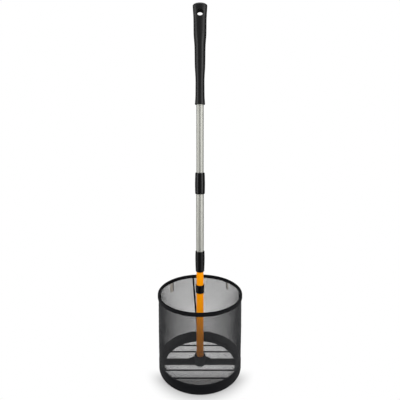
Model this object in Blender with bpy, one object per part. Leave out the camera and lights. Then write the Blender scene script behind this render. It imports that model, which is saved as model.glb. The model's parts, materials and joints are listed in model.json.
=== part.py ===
"""Table tennis ball pickup basket.

A net basket on a moulded base frame. The base is open but for elastic cords, which let a 40 mm ball
in from below and hold it. A post stands on the frame's hub, and a telescopic pole screws onto the
post at rim height. Metres, +Z up, origin on the floor under the middle of the base.
"""

import math

import bmesh
import bpy
from mathutils import Matrix, Vector

MM = 0.001
WELD = 1.0e-6

# Clearances
SEAT = 0.3 * MM            # between pieces that touch when the product is put together
SLIDE = 0.3 * MM           # radial, inner tube in outer tube
GRIP = 0.2 * MM            # radial, collet fingers on the tube that they hold
THREAD = 0.25 * MM         # radial, a nut on its thread

# Basket
BASKET_HEIGHT = 214.7 * MM
WALL_RADIUS = 114.4 * MM   # outer face of the net
WALL_THICKNESS = 0.6 * MM
BAND_THICKNESS = 0.5 * MM
BAND_HEIGHT = 25.0 * MM
BAND_LIFT = 0.8 * MM       # lower hem above the floor
NET_LIFT = 1.2 * MM        # net's lower edge above the floor
BINDING_DEPTH = 9.7 * MM
BINDING_THICKNESS = 0.6 * MM
BINDING_WIDTH = 4.8 * MM
BINDING_STAND_OFF = 2.1 * MM   # outer face beyond the net
HOOP_WIRE_RADIUS = 1.2 * MM
BASKET_SIDES = 52

# Seam tape and tabs on the inside of the net; angles are from the back, towards -X
TAPE_WIDTH = 5.4 * MM
TAPE_THICKNESS = 0.5 * MM
TAPE_TOP_ANGLE = math.radians(11.2)
TAPE_FOOT_ANGLE = math.radians(4.0)
TAB_THICKNESS = 0.8 * MM
TABS = {                   # side: angle, top width, foot width, hang below the binding, foot shift
    "left": (math.radians(49.3), 10.0 * MM, 13.5 * MM, 28.0 * MM, 0.0 * MM),
    "right": (math.radians(-46.5), 6.5 * MM, 6.0 * MM, 21.0 * MM, -3.0 * MM),
}

# Base frame: ring, crossbar, hub
RING_WALL = 2.3 * MM
RING_HEIGHT = 24.5 * MM
FLANGE_WIDTH = 11.7 * MM
FLANGE_THICKNESS = 2.6 * MM
EDGE_BREAK = 0.5 * MM
BAR_WIDTH = 18.0 * MM
BAR_HEIGHT = 8.0 * MM
BAR_LIFT = 1.0 * MM        # underside above the floor
BAR_ROUND = 1.5 * MM       # on the bar's and the hub's upper edges
BAR_WALL = 2.2 * MM
BAR_RIB = 2.0 * MM
BAR_POCKETS = 4            # on each side of the hub
HUB_WALL = 5.7 * MM        # around the post
HUB_HEIGHT = 26.0 * MM
HUB_FLOOR = 3.0 * MM
HUB_LIFT = 0.8 * MM
SCREW_RECESS = 4.2 * MM
GUSSET_LENGTH = 24.0 * MM
GUSSET_HEIGHT = 13.0 * MM
GUSSET_THICKNESS = 3.0 * MM
EMBED = 1.2 * MM           # how far one moulded feature runs into the next

# Elastic cords across the base
CORD_ROWS = 3              # on each side of the crossbar
CORD_RADIUS = 1.5 * MM
CORD_HEIGHT = 8.0 * MM
CORD_INSET = 1.5 * MM      # outermost cord to the flange's inner edge
KNOT_RADIUS = 2.6 * MM
KNOT_GAP = 1.1 * MM        # knot to ring wall
CLEAT_LENGTH = 4.0 * MM
CLEAT_WIDTH = 8.0 * MM
CLEAT_HEIGHT = 13.5 * MM
CLEAT_ROUND = 2.2 * MM
EYELET_CLEARANCE = 0.4 * MM
CORD_SIDES = 12

# Side stays
STAY_RADIUS = 1.0 * MM
STAY_SOCKET_WALL = 1.2 * MM
STAY_SOCKET_INSET = 0.1 * MM   # socket inside the ring's outer face
STAY_SIDES = 16
STAY_SOCKET_DEPTH = 12.2 * MM
CHANNEL_WALL = 1.25 * MM

# Post and screw union
POST_STEP = 0.3 * MM       # post's radius over the pole's tubes
POST_WALL = 1.0 * MM
PLUG_LENGTH = 17.0 * MM
SCREW_RADIUS = 2.5 * MM
SCREW_REACH = 11.0 * MM    # into the plug
SCREW_HEAD_RADIUS = 4.6 * MM
SCREW_HEAD_HEIGHT = 2.2 * MM
SCREW_HEAD_ROUND = 1.0 * MM
SCREW_POINT = 1.0 * MM
SCREW_CROSS = 1.1 * MM     # width of the slots
SCREW_CROSS_LENGTH = 5.0 * MM
SCREW_CROSS_DEPTH = 1.3 * MM
SCREW_SIDES = 16
WASHER_RADIUS = 5.1 * MM
WASHER_THICKNESS = 0.8 * MM
NUT_SINK = 2.7 * MM        # foot of the nut below the rim
NUT_LENGTH = 22.6 * MM
NUT_WALL = 1.15 * MM       # over the thread
NUT_CHAMFER = 0.8 * MM
THREAD_STEP = 0.6 * MM     # thread's crest outside the post
SPIGOT_LENGTH = 12.0 * MM
SPIGOT_WALL = 2.7 * MM     # below the thread, inside the post
FLANGE_DISC = 3.0 * MM     # disc on the foot of the pole, held by the nut's lip

# Pole
TUBE_RADIUS = 9.7 * MM     # upper and lower tubes
LOWER_TUBE_WALL = 0.7 * MM
UPPER_TUBE_WALL = 0.5 * MM
MIDDLE_TUBE_WALL = 0.4 * MM
LOWER_TUBE_SHOWN = 37.8 * MM
LOWER_LOCK_LENGTH = 57.7 * MM
MIDDLE_TUBE_SHOWN = 158.0 * MM
UPPER_LOCK_LENGTH = 57.2 * MM
UPPER_TUBE_SHOWN = 178.0 * MM
TUBE_OVERLAP = 80.0 * MM   # each inner tube inside the middle tube
END_PLUG_FLANGE = 2.0 * MM
END_PLUG_LENGTH = 12.0 * MM
END_PLUG_RELIEF = 0.1 * MM
POLE_SIDES = 28

# Twist locks; places along a lock run from the end that the inner tube enters
LOCK_LIP = 3.0 * MM
FINGER_LENGTH = 15.0 * MM
FINGER_TIP = 0.85 * MM     # thickness at the tip
FINGER_SLOT = 1.2 * MM     # width of the slots between the fingers
FINGER_SLOT_LENGTH = 12.75 * MM
FINGERS = 6
COLLET_WALL = 0.6 * MM
COLLET_TAIL = 3.0 * MM     # collet stops this far inside the sleeve
LOCK_CHAMFER = 1.1 * MM
LOCK_SIDES = 28
LOCK_CHAMFER_SHARE = 0.8   # chamfer's width as a share of its length
LOCK_STEPS = 6
# (share of the lock's length, wall over the sleeve's bore)
UPPER_SLEEVE = ((0.0, 1.15 * MM), (0.26, 1.6 * MM), (0.5, 1.95 * MM), (0.8, 1.8 * MM), (1.0, 1.45 * MM))
LOWER_SLEEVE = ((0.0, 0.4 * MM), (0.27, 0.95 * MM), (0.65, 1.4 * MM), (1.0, 0.9 * MM))

# Handle grip; heights are from the grip's lower end
GRIP_SIDES = 28
GRIP_STEP = 15.0 * MM
GRIP_FOOT_ROUND = 1.6 * MM
GRIP_PROFILE = (           # (height, wall over the bore)
    (2.2 * MM, 3.3 * MM),
    (23.0 * MM, 1.9 * MM),
    (62.0 * MM, 1.65 * MM),
    (101.0 * MM, 3.6 * MM),
    (145.0 * MM, 4.2 * MM),
    (181.0 * MM, 6.5 * MM),
    (210.0 * MM, 6.7 * MM),
    (244.6 * MM, 8.6 * MM),
)
GRIP_FLATTEN = (           # (height, depth as a share of width)
    (0.0 * MM, 1.0),
    (145.0 * MM, 1.0),
    (181.0 * MM, 0.82),
    (210.0 * MM, 0.72),
    (244.6 * MM, 0.61),
)
GRIP_SHOULDER_RISE = 4.6 * MM
GRIP_SHOULDER_INSET = 4.2 * MM
GRIP_CROWN_RISE = 2.4 * MM
GRIP_DOME_STEPS = 4
GRIP_WEB = 6.4 * MM        # between the bore and the hanging hole's rounded mouth
HOLE_HEIGHT = 226.2 * MM
HOLE_RADIUS = 8.0 * MM
HOLE_LIP = 1.4 * MM        # radius of the rounding at each mouth
HOLE_SIDES = 24


# Derived radii and places, bottom to top
WALL_INNER = WALL_RADIUS - WALL_THICKNESS
RING_RADIUS = WALL_INNER - SEAT
RING_INNER = RING_RADIUS - RING_WALL
FLANGE_INNER = RING_INNER - FLANGE_WIDTH
BINDING_OUTER = WALL_RADIUS + BINDING_STAND_OFF
BINDING_INNER = BINDING_OUTER - BINDING_WIDTH
BINDING_FOOT = BASKET_HEIGHT - BINDING_DEPTH
HOOP_RADIUS = (BINDING_OUTER + BINDING_INNER) / 2
HOOP_HEIGHT = BASKET_HEIGHT - BINDING_THICKNESS - SEAT - HOOP_WIRE_RADIUS
WALL_TOP = HOOP_HEIGHT - HOOP_WIRE_RADIUS - SEAT
STAY_SOCKET_RADIUS = STAY_RADIUS + SEAT + STAY_SOCKET_WALL
STAY_PLACE = RING_RADIUS - STAY_SOCKET_INSET - STAY_SOCKET_RADIUS
POST_RADIUS = TUBE_RADIUS + POST_STEP
POST_INNER = POST_RADIUS - POST_WALL
HUB_RADIUS = POST_RADIUS + SEAT + HUB_WALL
HUB_SEAT = HUB_LIFT + SCREW_RECESS + HUB_FLOOR
POST_FOOT = HUB_SEAT + SEAT
NUT_FOOT = BASKET_HEIGHT - NUT_SINK
POST_TOP = NUT_FOOT
POST_PLUG_RADIUS = POST_INNER - SEAT
SPIGOT_BORE = POST_PLUG_RADIUS - SPIGOT_WALL
SPIGOT_FOOT = POST_TOP + SEAT
SPIGOT_TOP = SPIGOT_FOOT + SPIGOT_LENGTH
THREAD_RADIUS = POST_RADIUS + THREAD_STEP
NUT_BORE = THREAD_RADIUS + THREAD
NUT_RADIUS = NUT_BORE + NUT_WALL
DISC_FOOT = SPIGOT_TOP + SEAT
DISC_TOP = DISC_FOOT + FLANGE_DISC
LOWER_TUBE_FOOT = DISC_TOP + SEAT
NUT_TOP = NUT_FOOT + NUT_LENGTH
LOWER_LOCK_FOOT = NUT_TOP + LOWER_TUBE_SHOWN
LOWER_LOCK_TOP = LOWER_LOCK_FOOT + LOWER_LOCK_LENGTH
UPPER_LOCK_FOOT = LOWER_LOCK_TOP + MIDDLE_TUBE_SHOWN
UPPER_LOCK_TOP = UPPER_LOCK_FOOT + UPPER_LOCK_LENGTH
GRIP_FOOT = UPPER_LOCK_TOP + UPPER_TUBE_SHOWN
MIDDLE_TUBE_INNER = TUBE_RADIUS + SLIDE
MIDDLE_TUBE_RADIUS = MIDDLE_TUBE_INNER + MIDDLE_TUBE_WALL
FINGER_INNER = TUBE_RADIUS + GRIP
COLLET_INNER = MIDDLE_TUBE_RADIUS + GRIP
COLLET_OUTER = COLLET_INNER + COLLET_WALL
SLEEVE_BORE = COLLET_OUTER + THREAD
TUBE_SHOULDER = LOCK_LIP + SEAT + FINGER_LENGTH
MIDDLE_TUBE_FOOT = LOWER_LOCK_FOOT + TUBE_SHOULDER + SEAT
MIDDLE_TUBE_TOP = UPPER_LOCK_TOP - TUBE_SHOULDER - SEAT
LOWER_TUBE_TOP = MIDDLE_TUBE_FOOT + TUBE_OVERLAP
UPPER_TUBE_FOOT = MIDDLE_TUBE_TOP - TUBE_OVERLAP
GRIP_BORE = TUBE_RADIUS + SEAT
GRIP_BORE_DEPTH = HOLE_HEIGHT - HOLE_RADIUS - HOLE_LIP - GRIP_WEB
UPPER_TUBE_TOP = GRIP_FOOT + GRIP_BORE_DEPTH - SEAT


def clear_scene():
    """Start from an empty scene."""
    for existing in list(bpy.data.objects):
        bpy.data.objects.remove(existing, do_unlink=True)


def linear(hex_colour):
    """sRGB hex to linear RGBA."""
    channels = [int(hex_colour[i:i + 2], 16) / 255 for i in (1, 3, 5)]
    return [c / 12.92 if c <= 0.04045 else ((c + 0.055) / 1.055) ** 2.4 for c in channels] + [1.0]


def finish(name, colour, roughness, metallic=0.0):
    """A Principled material."""
    material = bpy.data.materials.new(name)
    material.use_nodes = True
    shader = material.node_tree.nodes["Principled BSDF"]
    shader.inputs["Base Color"].default_value = linear(colour)
    shader.inputs["Roughness"].default_value = roughness
    shader.inputs["Metallic"].default_value = metallic
    return material


def body(name, height, parent=None):
    """An empty on the pole's axis that carries the pieces which move together."""
    empty = bpy.data.objects.new(name, None)
    bpy.context.collection.objects.link(empty)
    empty["height"] = height
    empty.parent = parent
    empty.location = (0, 0, height - (parent["height"] if parent else 0.0))
    return empty


def publish(name, bm, carrier, material=None):
    """Turn a bmesh in world coordinates into a named object carried by an empty."""
    bmesh.ops.translate(bm, verts=bm.verts, vec=(0, 0, -carrier["height"]))
    mesh = bpy.data.meshes.new(name)
    bm.to_mesh(mesh)
    bm.free()
    mesh.shade_smooth()
    mesh.set_sharp_from_angle(angle=math.radians(35))
    piece = bpy.data.objects.new(name, mesh)
    bpy.context.collection.objects.link(piece)
    piece.parent = carrier
    if material:
        mesh.materials.append(material)
    return piece


def combine(piece, tool_name, bm, carrier, operation):
    """Union or difference with a hidden tool solid."""
    tool = publish(tool_name, bm, carrier)
    tool.hide_render = True
    tool.display_type = "WIRE"
    modifier = piece.modifiers.new(tool_name, "BOOLEAN")
    modifier.operation = operation
    modifier.object = tool


def turned(profile, sides, closed=True):
    """Spin an (radius, height) outline about the Z axis."""
    bm = bmesh.new()
    verts = [bm.verts.new((radius, 0, height)) for radius, height in profile]
    edges = [bm.edges.new(pair) for pair in zip(verts, verts[1:])]
    if closed:
        edges.append(bm.edges.new((verts[-1], verts[0])))
    bmesh.ops.spin(bm, geom=verts + edges, cent=(0, 0, 0), axis=(0, 0, 1),
                   angle=math.tau, steps=sides, use_merge=True)
    bmesh.ops.remove_doubles(bm, verts=bm.verts, dist=WELD)
    bmesh.ops.recalc_face_normals(bm, faces=bm.faces)
    return bm


def tube(outer, inner, foot, top, sides):
    """A plain tube standing on the Z axis."""
    return turned([(outer, foot), (outer, top), (inner, top), (inner, foot)], sides)


def add_box(bm, low, high, turn=0.0):
    """Add a box given by two corners, turned about the Z axis."""
    size = Vector(high) - Vector(low)
    centre = (Vector(high) + Vector(low)) / 2
    place = Matrix.Rotation(turn, 4, "Z") @ Matrix.Translation(centre) @ Matrix.Diagonal((*size, 1))
    return bmesh.ops.create_cube(bm, size=1.0, matrix=place)["verts"]


def add_rod(bm, radius, start, end, sides):
    """Add a round rod between two points."""
    start, end = Vector(start), Vector(end)
    turn = (end - start).to_track_quat("Z", "Y").to_matrix().to_4x4()
    place = Matrix.Translation((start + end) / 2) @ turn
    bmesh.ops.create_cone(bm, cap_ends=True, segments=sides, radius1=radius, radius2=radius,
                          depth=(end - start).length, matrix=place)


def smooth_value(stations, place):
    """Monotone cubic curve through (place, value) stations."""
    places = [station[0] for station in stations]
    values = [station[1] for station in stations]
    slopes = [(v1 - v0) / (p1 - p0) for p0, p1, v0, v1 in zip(places, places[1:], values, values[1:])]
    tangents = [slopes[0]]
    for before, after in zip(slopes, slopes[1:]):
        flat = before * after <= 0
        tangents.append(0.0 if flat else 2 * before * after / (before + after))
    tangents.append(slopes[-1])
    if place <= places[0]:
        return values[0]
    if place >= places[-1]:
        return values[-1]
    k = max(i for i, p in enumerate(places[:-1]) if p <= place)
    span = places[k + 1] - places[k]
    t = (place - places[k]) / span
    return ((1 + 2 * t) * (1 - t) ** 2 * values[k] + t * (1 - t) ** 2 * span * tangents[k]
            + t * t * (3 - 2 * t) * values[k + 1] + t * t * (t - 1) * span * tangents[k + 1])


def arc(centre, radius, start, end, steps):
    """Points on an arc in the (radius, height) plane, angles in degrees."""
    angles = [math.radians(start + (end - start) * i / steps) for i in range(steps + 1)]
    return [(centre[0] + radius * math.cos(a), centre[1] + radius * math.sin(a)) for a in angles]


def wall_strip(inner, outer, foot, top, foot_angle, top_angle, foot_width, top_width, rows=8):
    """A strip that follows the inside of the net; angles run from the back (+Y) towards -X."""
    bm = bmesh.new()
    rings = []
    for i in range(rows + 1):
        t = i / rows
        height = foot + (top - foot) * t
        middle = foot_angle + (top_angle - foot_angle) * t
        half = (foot_width + (top_width - foot_width) * t) / 2 / outer
        corners = [(inner, middle - half), (outer, middle - half),
                   (outer, middle + half), (inner, middle + half)]
        rings.append([bm.verts.new((-r * math.sin(a), r * math.cos(a), height)) for r, a in corners])
    for low, high in zip(rings, rings[1:]):
        for k in range(4):
            bm.faces.new((low[k], low[(k + 1) % 4], high[(k + 1) % 4], high[k]))
    bm.faces.new(rings[0])
    bm.faces.new(rings[-1])
    bmesh.ops.recalc_face_normals(bm, faces=bm.faces)
    return bm


def cord_offsets():
    """Distance of each row of cord from the crossbar's middle line."""
    spacing = (FLANGE_INNER - CORD_INSET - BAR_WIDTH / 2) / CORD_ROWS
    return [BAR_WIDTH / 2 + spacing * (row + 1) for row in range(CORD_ROWS)]


def knot_place(offset):
    """Where a cord's knot lies along X, just inside the ring's wall."""
    reach = RING_INNER - KNOT_GAP - KNOT_RADIUS
    return math.sqrt(reach ** 2 - offset ** 2)


def cleat_places():
    """(x of the cleat's outer face, y, sign of x) for each cord end."""
    for side in (1, -1):
        for offset in cord_offsets():
            outer_face = knot_place(offset) - KNOT_RADIUS - SEAT
            for end in (1, -1):
                yield outer_face, side * offset, end


def build_base_frame(basket, plastic):
    """Moulded ring with a crossbar, a hub for the post, cord cleats and stay sockets."""
    ring = turned([
        (FLANGE_INNER + EDGE_BREAK, 0), (RING_RADIUS, 0), (RING_RADIUS, RING_HEIGHT - EDGE_BREAK),
        (RING_RADIUS - EDGE_BREAK, RING_HEIGHT), (RING_INNER, RING_HEIGHT), (RING_INNER, FLANGE_THICKNESS),
        (FLANGE_INNER + EDGE_BREAK, FLANGE_THICKNESS), (FLANGE_INNER, FLANGE_THICKNESS / 2),
    ], BASKET_SIDES)
    frame = publish("base_frame", ring, basket, plastic)

    bar = bmesh.new()
    bar_end = (RING_INNER + RING_RADIUS) / 2
    bar_top = BAR_LIFT + BAR_HEIGHT
    add_box(bar, (-bar_end, -BAR_WIDTH / 2, BAR_LIFT), (bar_end, BAR_WIDTH / 2, bar_top))
    top_edges = [e for e in bar.edges if all(v.co.z > bar_top - WELD for v in e.verts)
                 and abs(e.verts[0].co.y - e.verts[1].co.y) < WELD]
    bmesh.ops.bevel(bar, geom=top_edges, offset=BAR_ROUND, segments=2, profile=0.5, affect="EDGES")
    combine(frame, "crossbar_form", bar, basket, "UNION")

    hub = turned([(0, HUB_LIFT), (HUB_RADIUS, HUB_LIFT), (HUB_RADIUS, HUB_HEIGHT - BAR_ROUND),
                  (HUB_RADIUS - BAR_ROUND, HUB_HEIGHT), (0, HUB_HEIGHT)], POLE_SIDES, closed=False)
    combine(frame, "hub_form", hub, basket, "UNION")

    gussets = bmesh.new()
    for side in (1, -1):
        near = side * (HUB_RADIUS - EMBED)
        far = side * (HUB_RADIUS + GUSSET_LENGTH)
        corners = [(near, bar_top - EMBED), (far, bar_top - EMBED), (far, bar_top + EDGE_BREAK),
                   (near, bar_top + GUSSET_HEIGHT)]
        faces = [gussets.faces.new([gussets.verts.new((x, y, z)) for x, z in corners])
                 for y in (-GUSSET_THICKNESS / 2, GUSSET_THICKNESS / 2)]
        bmesh.ops.bridge_loops(gussets, edges=[e for face in faces for e in face.edges])
    bmesh.ops.recalc_face_normals(gussets, faces=gussets.faces)
    combine(frame, "gusset_form", gussets, basket, "UNION")

    cleats = bmesh.new()
    for outer_face, y, end in cleat_places():
        inner_face = outer_face - CLEAT_LENGTH
        verts = add_box(cleats, (min(end * inner_face, end * outer_face), y - CLEAT_WIDTH / 2, EMBED),
                        (max(end * inner_face, end * outer_face), y + CLEAT_WIDTH / 2, CLEAT_HEIGHT))
        upright = [e for e in {e for v in verts for e in v.link_edges}
                   if all(v.co.z > CLEAT_HEIGHT - WELD for v in e.verts)
                   and abs(e.verts[0].co.y - e.verts[1].co.y) < WELD]
        bmesh.ops.bevel(cleats, geom=upright, offset=CLEAT_ROUND, segments=2, profile=0.5, affect="EDGES")
    combine(frame, "cleat_form", cleats, basket, "UNION")

    sockets = bmesh.new()
    for end in (1, -1):
        add_rod(sockets, STAY_SOCKET_RADIUS, (end * STAY_PLACE, 0, FLANGE_THICKNESS / 2),
                (end * STAY_PLACE, 0, RING_HEIGHT - SEAT), STAY_SIDES)
    combine(frame, "stay_socket_form", sockets, basket, "UNION")

    pockets = bmesh.new()
    first = HUB_RADIUS + BAR_RIB / 2
    pitch = (FLANGE_INNER - first) / BAR_POCKETS
    for side in (1, -1):
        for k in range(BAR_POCKETS):
            near, far = first + k * pitch, first + (k + 1) * pitch - BAR_RIB
            add_box(pockets, (min(side * near, side * far), BAR_WALL - BAR_WIDTH / 2, 0),
                    (max(side * near, side * far), BAR_WIDTH / 2 - BAR_WALL, bar_top - BAR_WALL))
    combine(frame, "underside_pockets", pockets, basket, "DIFFERENCE")

    bore = turned([
        (0, 0), (WASHER_RADIUS + SEAT, 0), (WASHER_RADIUS + SEAT, HUB_LIFT + SCREW_RECESS),
        (SCREW_RADIUS + SEAT, HUB_LIFT + SCREW_RECESS), (SCREW_RADIUS + SEAT, HUB_SEAT),
        (POST_RADIUS + SEAT, HUB_SEAT), (POST_RADIUS + SEAT, HUB_HEIGHT + EMBED), (0, HUB_HEIGHT + EMBED),
    ], POLE_SIDES, closed=False)
    combine(frame, "hub_bore", bore, basket, "DIFFERENCE")

    eyelets = bmesh.new()
    for outer_face, y, end in cleat_places():
        add_rod(eyelets, CORD_RADIUS + EYELET_CLEARANCE,
                (end * (outer_face - CLEAT_LENGTH - EMBED), y, CORD_HEIGHT),
                (end * (outer_face + EMBED), y, CORD_HEIGHT), CORD_SIDES)
    combine(frame, "cord_eyelets", eyelets, basket, "DIFFERENCE")

    holes = bmesh.new()
    for end in (1, -1):
        add_rod(holes, STAY_RADIUS + SEAT, (end * STAY_PLACE, 0, RING_HEIGHT - STAY_SOCKET_DEPTH),
                (end * STAY_PLACE, 0, RING_HEIGHT + EMBED), STAY_SIDES)
    combine(frame, "stay_holes", holes, basket, "DIFFERENCE")


def build_elastic_cords(basket, elastic):
    """One cord for each row, knotted behind the cleat at both ends."""
    number = 0
    for side in (-1, 1):
        for offset in cord_offsets():
            number += 1
            reach = knot_place(offset)
            neck = math.degrees(math.asin(CORD_RADIUS / KNOT_RADIUS))
            lower = arc((0, -reach), KNOT_RADIUS, -90, 90 - neck, 4)
            upper = arc((0, reach), KNOT_RADIUS, neck - 90, 90, 4)
            outline = [(0, lower[0][1])] + lower[1:] + upper[:-1] + [(0, upper[-1][1])]
            bm = turned(outline, CORD_SIDES, closed=False)
            along_x = Matrix.Rotation(math.radians(90), 4, "Y")
            bmesh.ops.transform(bm, matrix=Matrix.Translation((0, side * offset, CORD_HEIGHT)) @ along_x,
                                verts=bm.verts)
            publish(f"elastic_cord_{number}", bm, basket, elastic)


def build_soft_walls(basket, net, webbing, grey_webbing, wire):
    """Net wall, bottom band, rim hoop in its binding, seam tape and tabs."""
    publish("mesh_wall", tube(WALL_RADIUS, WALL_INNER, NET_LIFT, WALL_TOP, BASKET_SIDES),
            basket, net)
    band_inner = WALL_RADIUS + SEAT
    publish("bottom_band", tube(band_inner + BAND_THICKNESS, band_inner, BAND_LIFT,
                                BAND_HEIGHT, BASKET_SIDES), basket, webbing)

    hoop = turned(arc((HOOP_RADIUS, HOOP_HEIGHT), HOOP_WIRE_RADIUS, 36, 324, 4), BASKET_SIDES)
    publish("rim_hoop", hoop, basket, wire)

    half = BINDING_WIDTH / 2
    crown = BASKET_HEIGHT - half
    outside = arc((HOOP_RADIUS, crown), half, 0, 180, 4)
    inside = arc((HOOP_RADIUS, crown), half - BINDING_THICKNESS, 180, 0, 4)
    outline = ([(BINDING_OUTER, BINDING_FOOT)] + outside + [(BINDING_INNER, BINDING_FOOT)]
               + [(BINDING_INNER + BINDING_THICKNESS, BINDING_FOOT)] + inside
               + [(BINDING_OUTER - BINDING_THICKNESS, BINDING_FOOT)])
    publish("rim_binding", turned(outline, BASKET_SIDES), basket, webbing)

    tape_outer = WALL_INNER - SEAT
    tape = wall_strip(tape_outer - TAPE_THICKNESS, tape_outer, BAND_HEIGHT, WALL_TOP - SEAT,
                      TAPE_FOOT_ANGLE, TAPE_TOP_ANGLE, TAPE_WIDTH, TAPE_WIDTH)
    publish("seam_tape", tape, basket, webbing)

    tab_inner = BINDING_INNER + BINDING_THICKNESS + SEAT
    for side, (angle, top_width, foot_width, hang, shift) in TABS.items():
        tab = wall_strip(tab_inner, tab_inner + TAB_THICKNESS, BINDING_FOOT - hang, WALL_TOP - SEAT,
                         angle + shift / WALL_INNER, angle, foot_width, top_width, rows=4)
        publish(f"rim_tab_{side}", tab, basket, grey_webbing)


def build_stays(basket, webbing, wire):
    """A spring wire at each side, in a sewn channel, standing in the frame's socket."""
    channel_inner = STAY_RADIUS + SEAT
    channel_top = BINDING_FOOT - SEAT
    for side, x in (("left", -STAY_PLACE), ("right", STAY_PLACE)):
        stay = bmesh.new()
        stay_foot = RING_HEIGHT - STAY_SOCKET_DEPTH + SEAT
        add_rod(stay, STAY_RADIUS, (x, 0, stay_foot), (x, 0, channel_top), STAY_SIDES)
        publish(f"side_stay_{side}", stay, basket, wire)
        channel = tube(channel_inner + CHANNEL_WALL, channel_inner, RING_HEIGHT + SEAT, channel_top,
                       STAY_SIDES)
        bmesh.ops.translate(channel, verts=channel.verts, vec=(x, 0, 0))
        publish(f"stay_channel_{side}", channel, basket, webbing)


def build_post(basket, orange, plastic, steel):
    """Post on the hub with its screw, washer and plug, and the threaded spigot on top."""
    post = tube(POST_RADIUS, POST_INNER, POST_FOOT, POST_TOP, POLE_SIDES)
    publish("centre_post", post, basket, orange)

    screw_top = POST_FOOT + SCREW_REACH
    plug = turned([
        (SCREW_RADIUS + SEAT, POST_FOOT), (POST_PLUG_RADIUS, POST_FOOT),
        (POST_PLUG_RADIUS, POST_FOOT + PLUG_LENGTH), (0, POST_FOOT + PLUG_LENGTH),
        (0, screw_top + SEAT), (SCREW_RADIUS + SEAT, screw_top + SEAT),
    ], SCREW_SIDES)
    publish("post_plug", plug, basket, plastic)

    washer_top = HUB_LIFT + SCREW_RECESS - SEAT
    washer_foot = washer_top - WASHER_THICKNESS
    publish("hub_washer", tube(WASHER_RADIUS, SCREW_RADIUS + SEAT, washer_foot, washer_top,
                                SCREW_SIDES), basket, steel)

    head_top = washer_foot - SEAT
    head_foot = head_top - SCREW_HEAD_HEIGHT
    head_edge = arc((SCREW_HEAD_RADIUS - SCREW_HEAD_ROUND, head_foot + SCREW_HEAD_ROUND),
                    SCREW_HEAD_ROUND, -90, 0, 2)
    screw = turned([(0, head_foot)] + head_edge + [
        (SCREW_HEAD_RADIUS, head_top), (SCREW_RADIUS, head_top),
        (SCREW_RADIUS, screw_top - SCREW_POINT), (SCREW_RADIUS - SCREW_POINT, screw_top), (0, screw_top),
    ], SCREW_SIDES, closed=False)
    hub_screw = publish("hub_screw", screw, basket, steel)
    cross = bmesh.new()
    arm, half = SCREW_CROSS_LENGTH / 2, SCREW_CROSS / 2
    outline = [(arm, half), (half, half), (half, arm), (-half, arm), (-half, half), (-arm, half),
               (-arm, -half), (-half, -half), (-half, -arm), (half, -arm), (half, -half), (arm, -half)]
    foot_face = cross.faces.new([cross.verts.new((x, y, head_foot - EMBED)) for x, y in outline])
    sunk = bmesh.ops.extrude_face_region(cross, geom=[foot_face])
    bmesh.ops.translate(cross, vec=(0, 0, EMBED + SCREW_CROSS_DEPTH),
                        verts=[g for g in sunk["geom"] if isinstance(g, bmesh.types.BMVert)])
    bmesh.ops.recalc_face_normals(cross, faces=cross.faces)
    combine(hub_screw, "screw_cross", cross, basket, "DIFFERENCE")

    spigot = turned([
        (POST_PLUG_RADIUS, POST_TOP - PLUG_LENGTH), (POST_PLUG_RADIUS, SPIGOT_FOOT),
        (THREAD_RADIUS, SPIGOT_FOOT),
        (THREAD_RADIUS, SPIGOT_TOP - EDGE_BREAK), (THREAD_RADIUS - EDGE_BREAK, SPIGOT_TOP),
        (SPIGOT_BORE, SPIGOT_TOP), (SPIGOT_BORE, POST_TOP - PLUG_LENGTH),
    ], POLE_SIDES)
    publish("post_spigot", spigot, basket, plastic)


def build_lower_pole(lower_pole, nut_body, orange, plastic):
    """Lower tube with its end pieces, and the union nut that screws it to the post."""
    tube_inner = TUBE_RADIUS - LOWER_TUBE_WALL
    publish("lower_tube", tube(TUBE_RADIUS, tube_inner, LOWER_TUBE_FOOT, LOWER_TUBE_TOP, POLE_SIDES),
            lower_pole, orange)
    plug_radius = tube_inner - SEAT
    bush = turned([
        (SPIGOT_BORE, DISC_FOOT), (THREAD_RADIUS, DISC_FOOT), (THREAD_RADIUS, DISC_TOP),
        (plug_radius, DISC_TOP), (plug_radius, DISC_TOP + PLUG_LENGTH),
        (SPIGOT_BORE, DISC_TOP + PLUG_LENGTH),
    ], POLE_SIDES)
    publish("tube_bush", bush, lower_pole, plastic)
    publish("lower_tube_plug", end_plug(plug_radius, LOWER_TUBE_TOP, 1), lower_pole, plastic)

    lip_foot = DISC_TOP + SEAT
    nut = turned([
        (NUT_BORE, NUT_FOOT), (NUT_RADIUS - NUT_CHAMFER / 2, NUT_FOOT),
        (NUT_RADIUS, NUT_FOOT + NUT_CHAMFER), (NUT_RADIUS, NUT_TOP - NUT_CHAMFER),
        (NUT_RADIUS - NUT_CHAMFER, NUT_TOP), (TUBE_RADIUS + SEAT, NUT_TOP),
        (TUBE_RADIUS + SEAT, lip_foot), (NUT_BORE, lip_foot),
    ], LOCK_SIDES)
    publish("union_nut", nut, nut_body, plastic)


def end_plug(radius, tube_end, direction):
    """Plug in a tube's end with a flange outside; direction points out of the tube."""
    flange = TUBE_RADIUS - END_PLUG_RELIEF
    near = tube_end + direction * SEAT
    far = near + direction * END_PLUG_FLANGE
    inside = tube_end - direction * END_PLUG_LENGTH
    outline = [(0, far), (flange - EDGE_BREAK, far), (flange, far - direction * EDGE_BREAK),
               (flange, near), (radius, near), (radius, inside), (0, inside)]
    return turned(outline, POLE_SIDES, closed=False)


def sleeve_outline(stations, length):
    """Outer outline of a lock sleeve with a chamfer at both ends, as (radius, place)."""
    points = []
    for i in range(LOCK_STEPS + 1):
        place = LOCK_CHAMFER + (length - 2 * LOCK_CHAMFER) * i / LOCK_STEPS
        points.append((SLEEVE_BORE + smooth_value(stations, place / length), place))
    inset = LOCK_CHAMFER * LOCK_CHAMFER_SHARE
    return [(points[0][0] - inset, 0.0)] + points + [(points[-1][0] - inset, length)]


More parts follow.
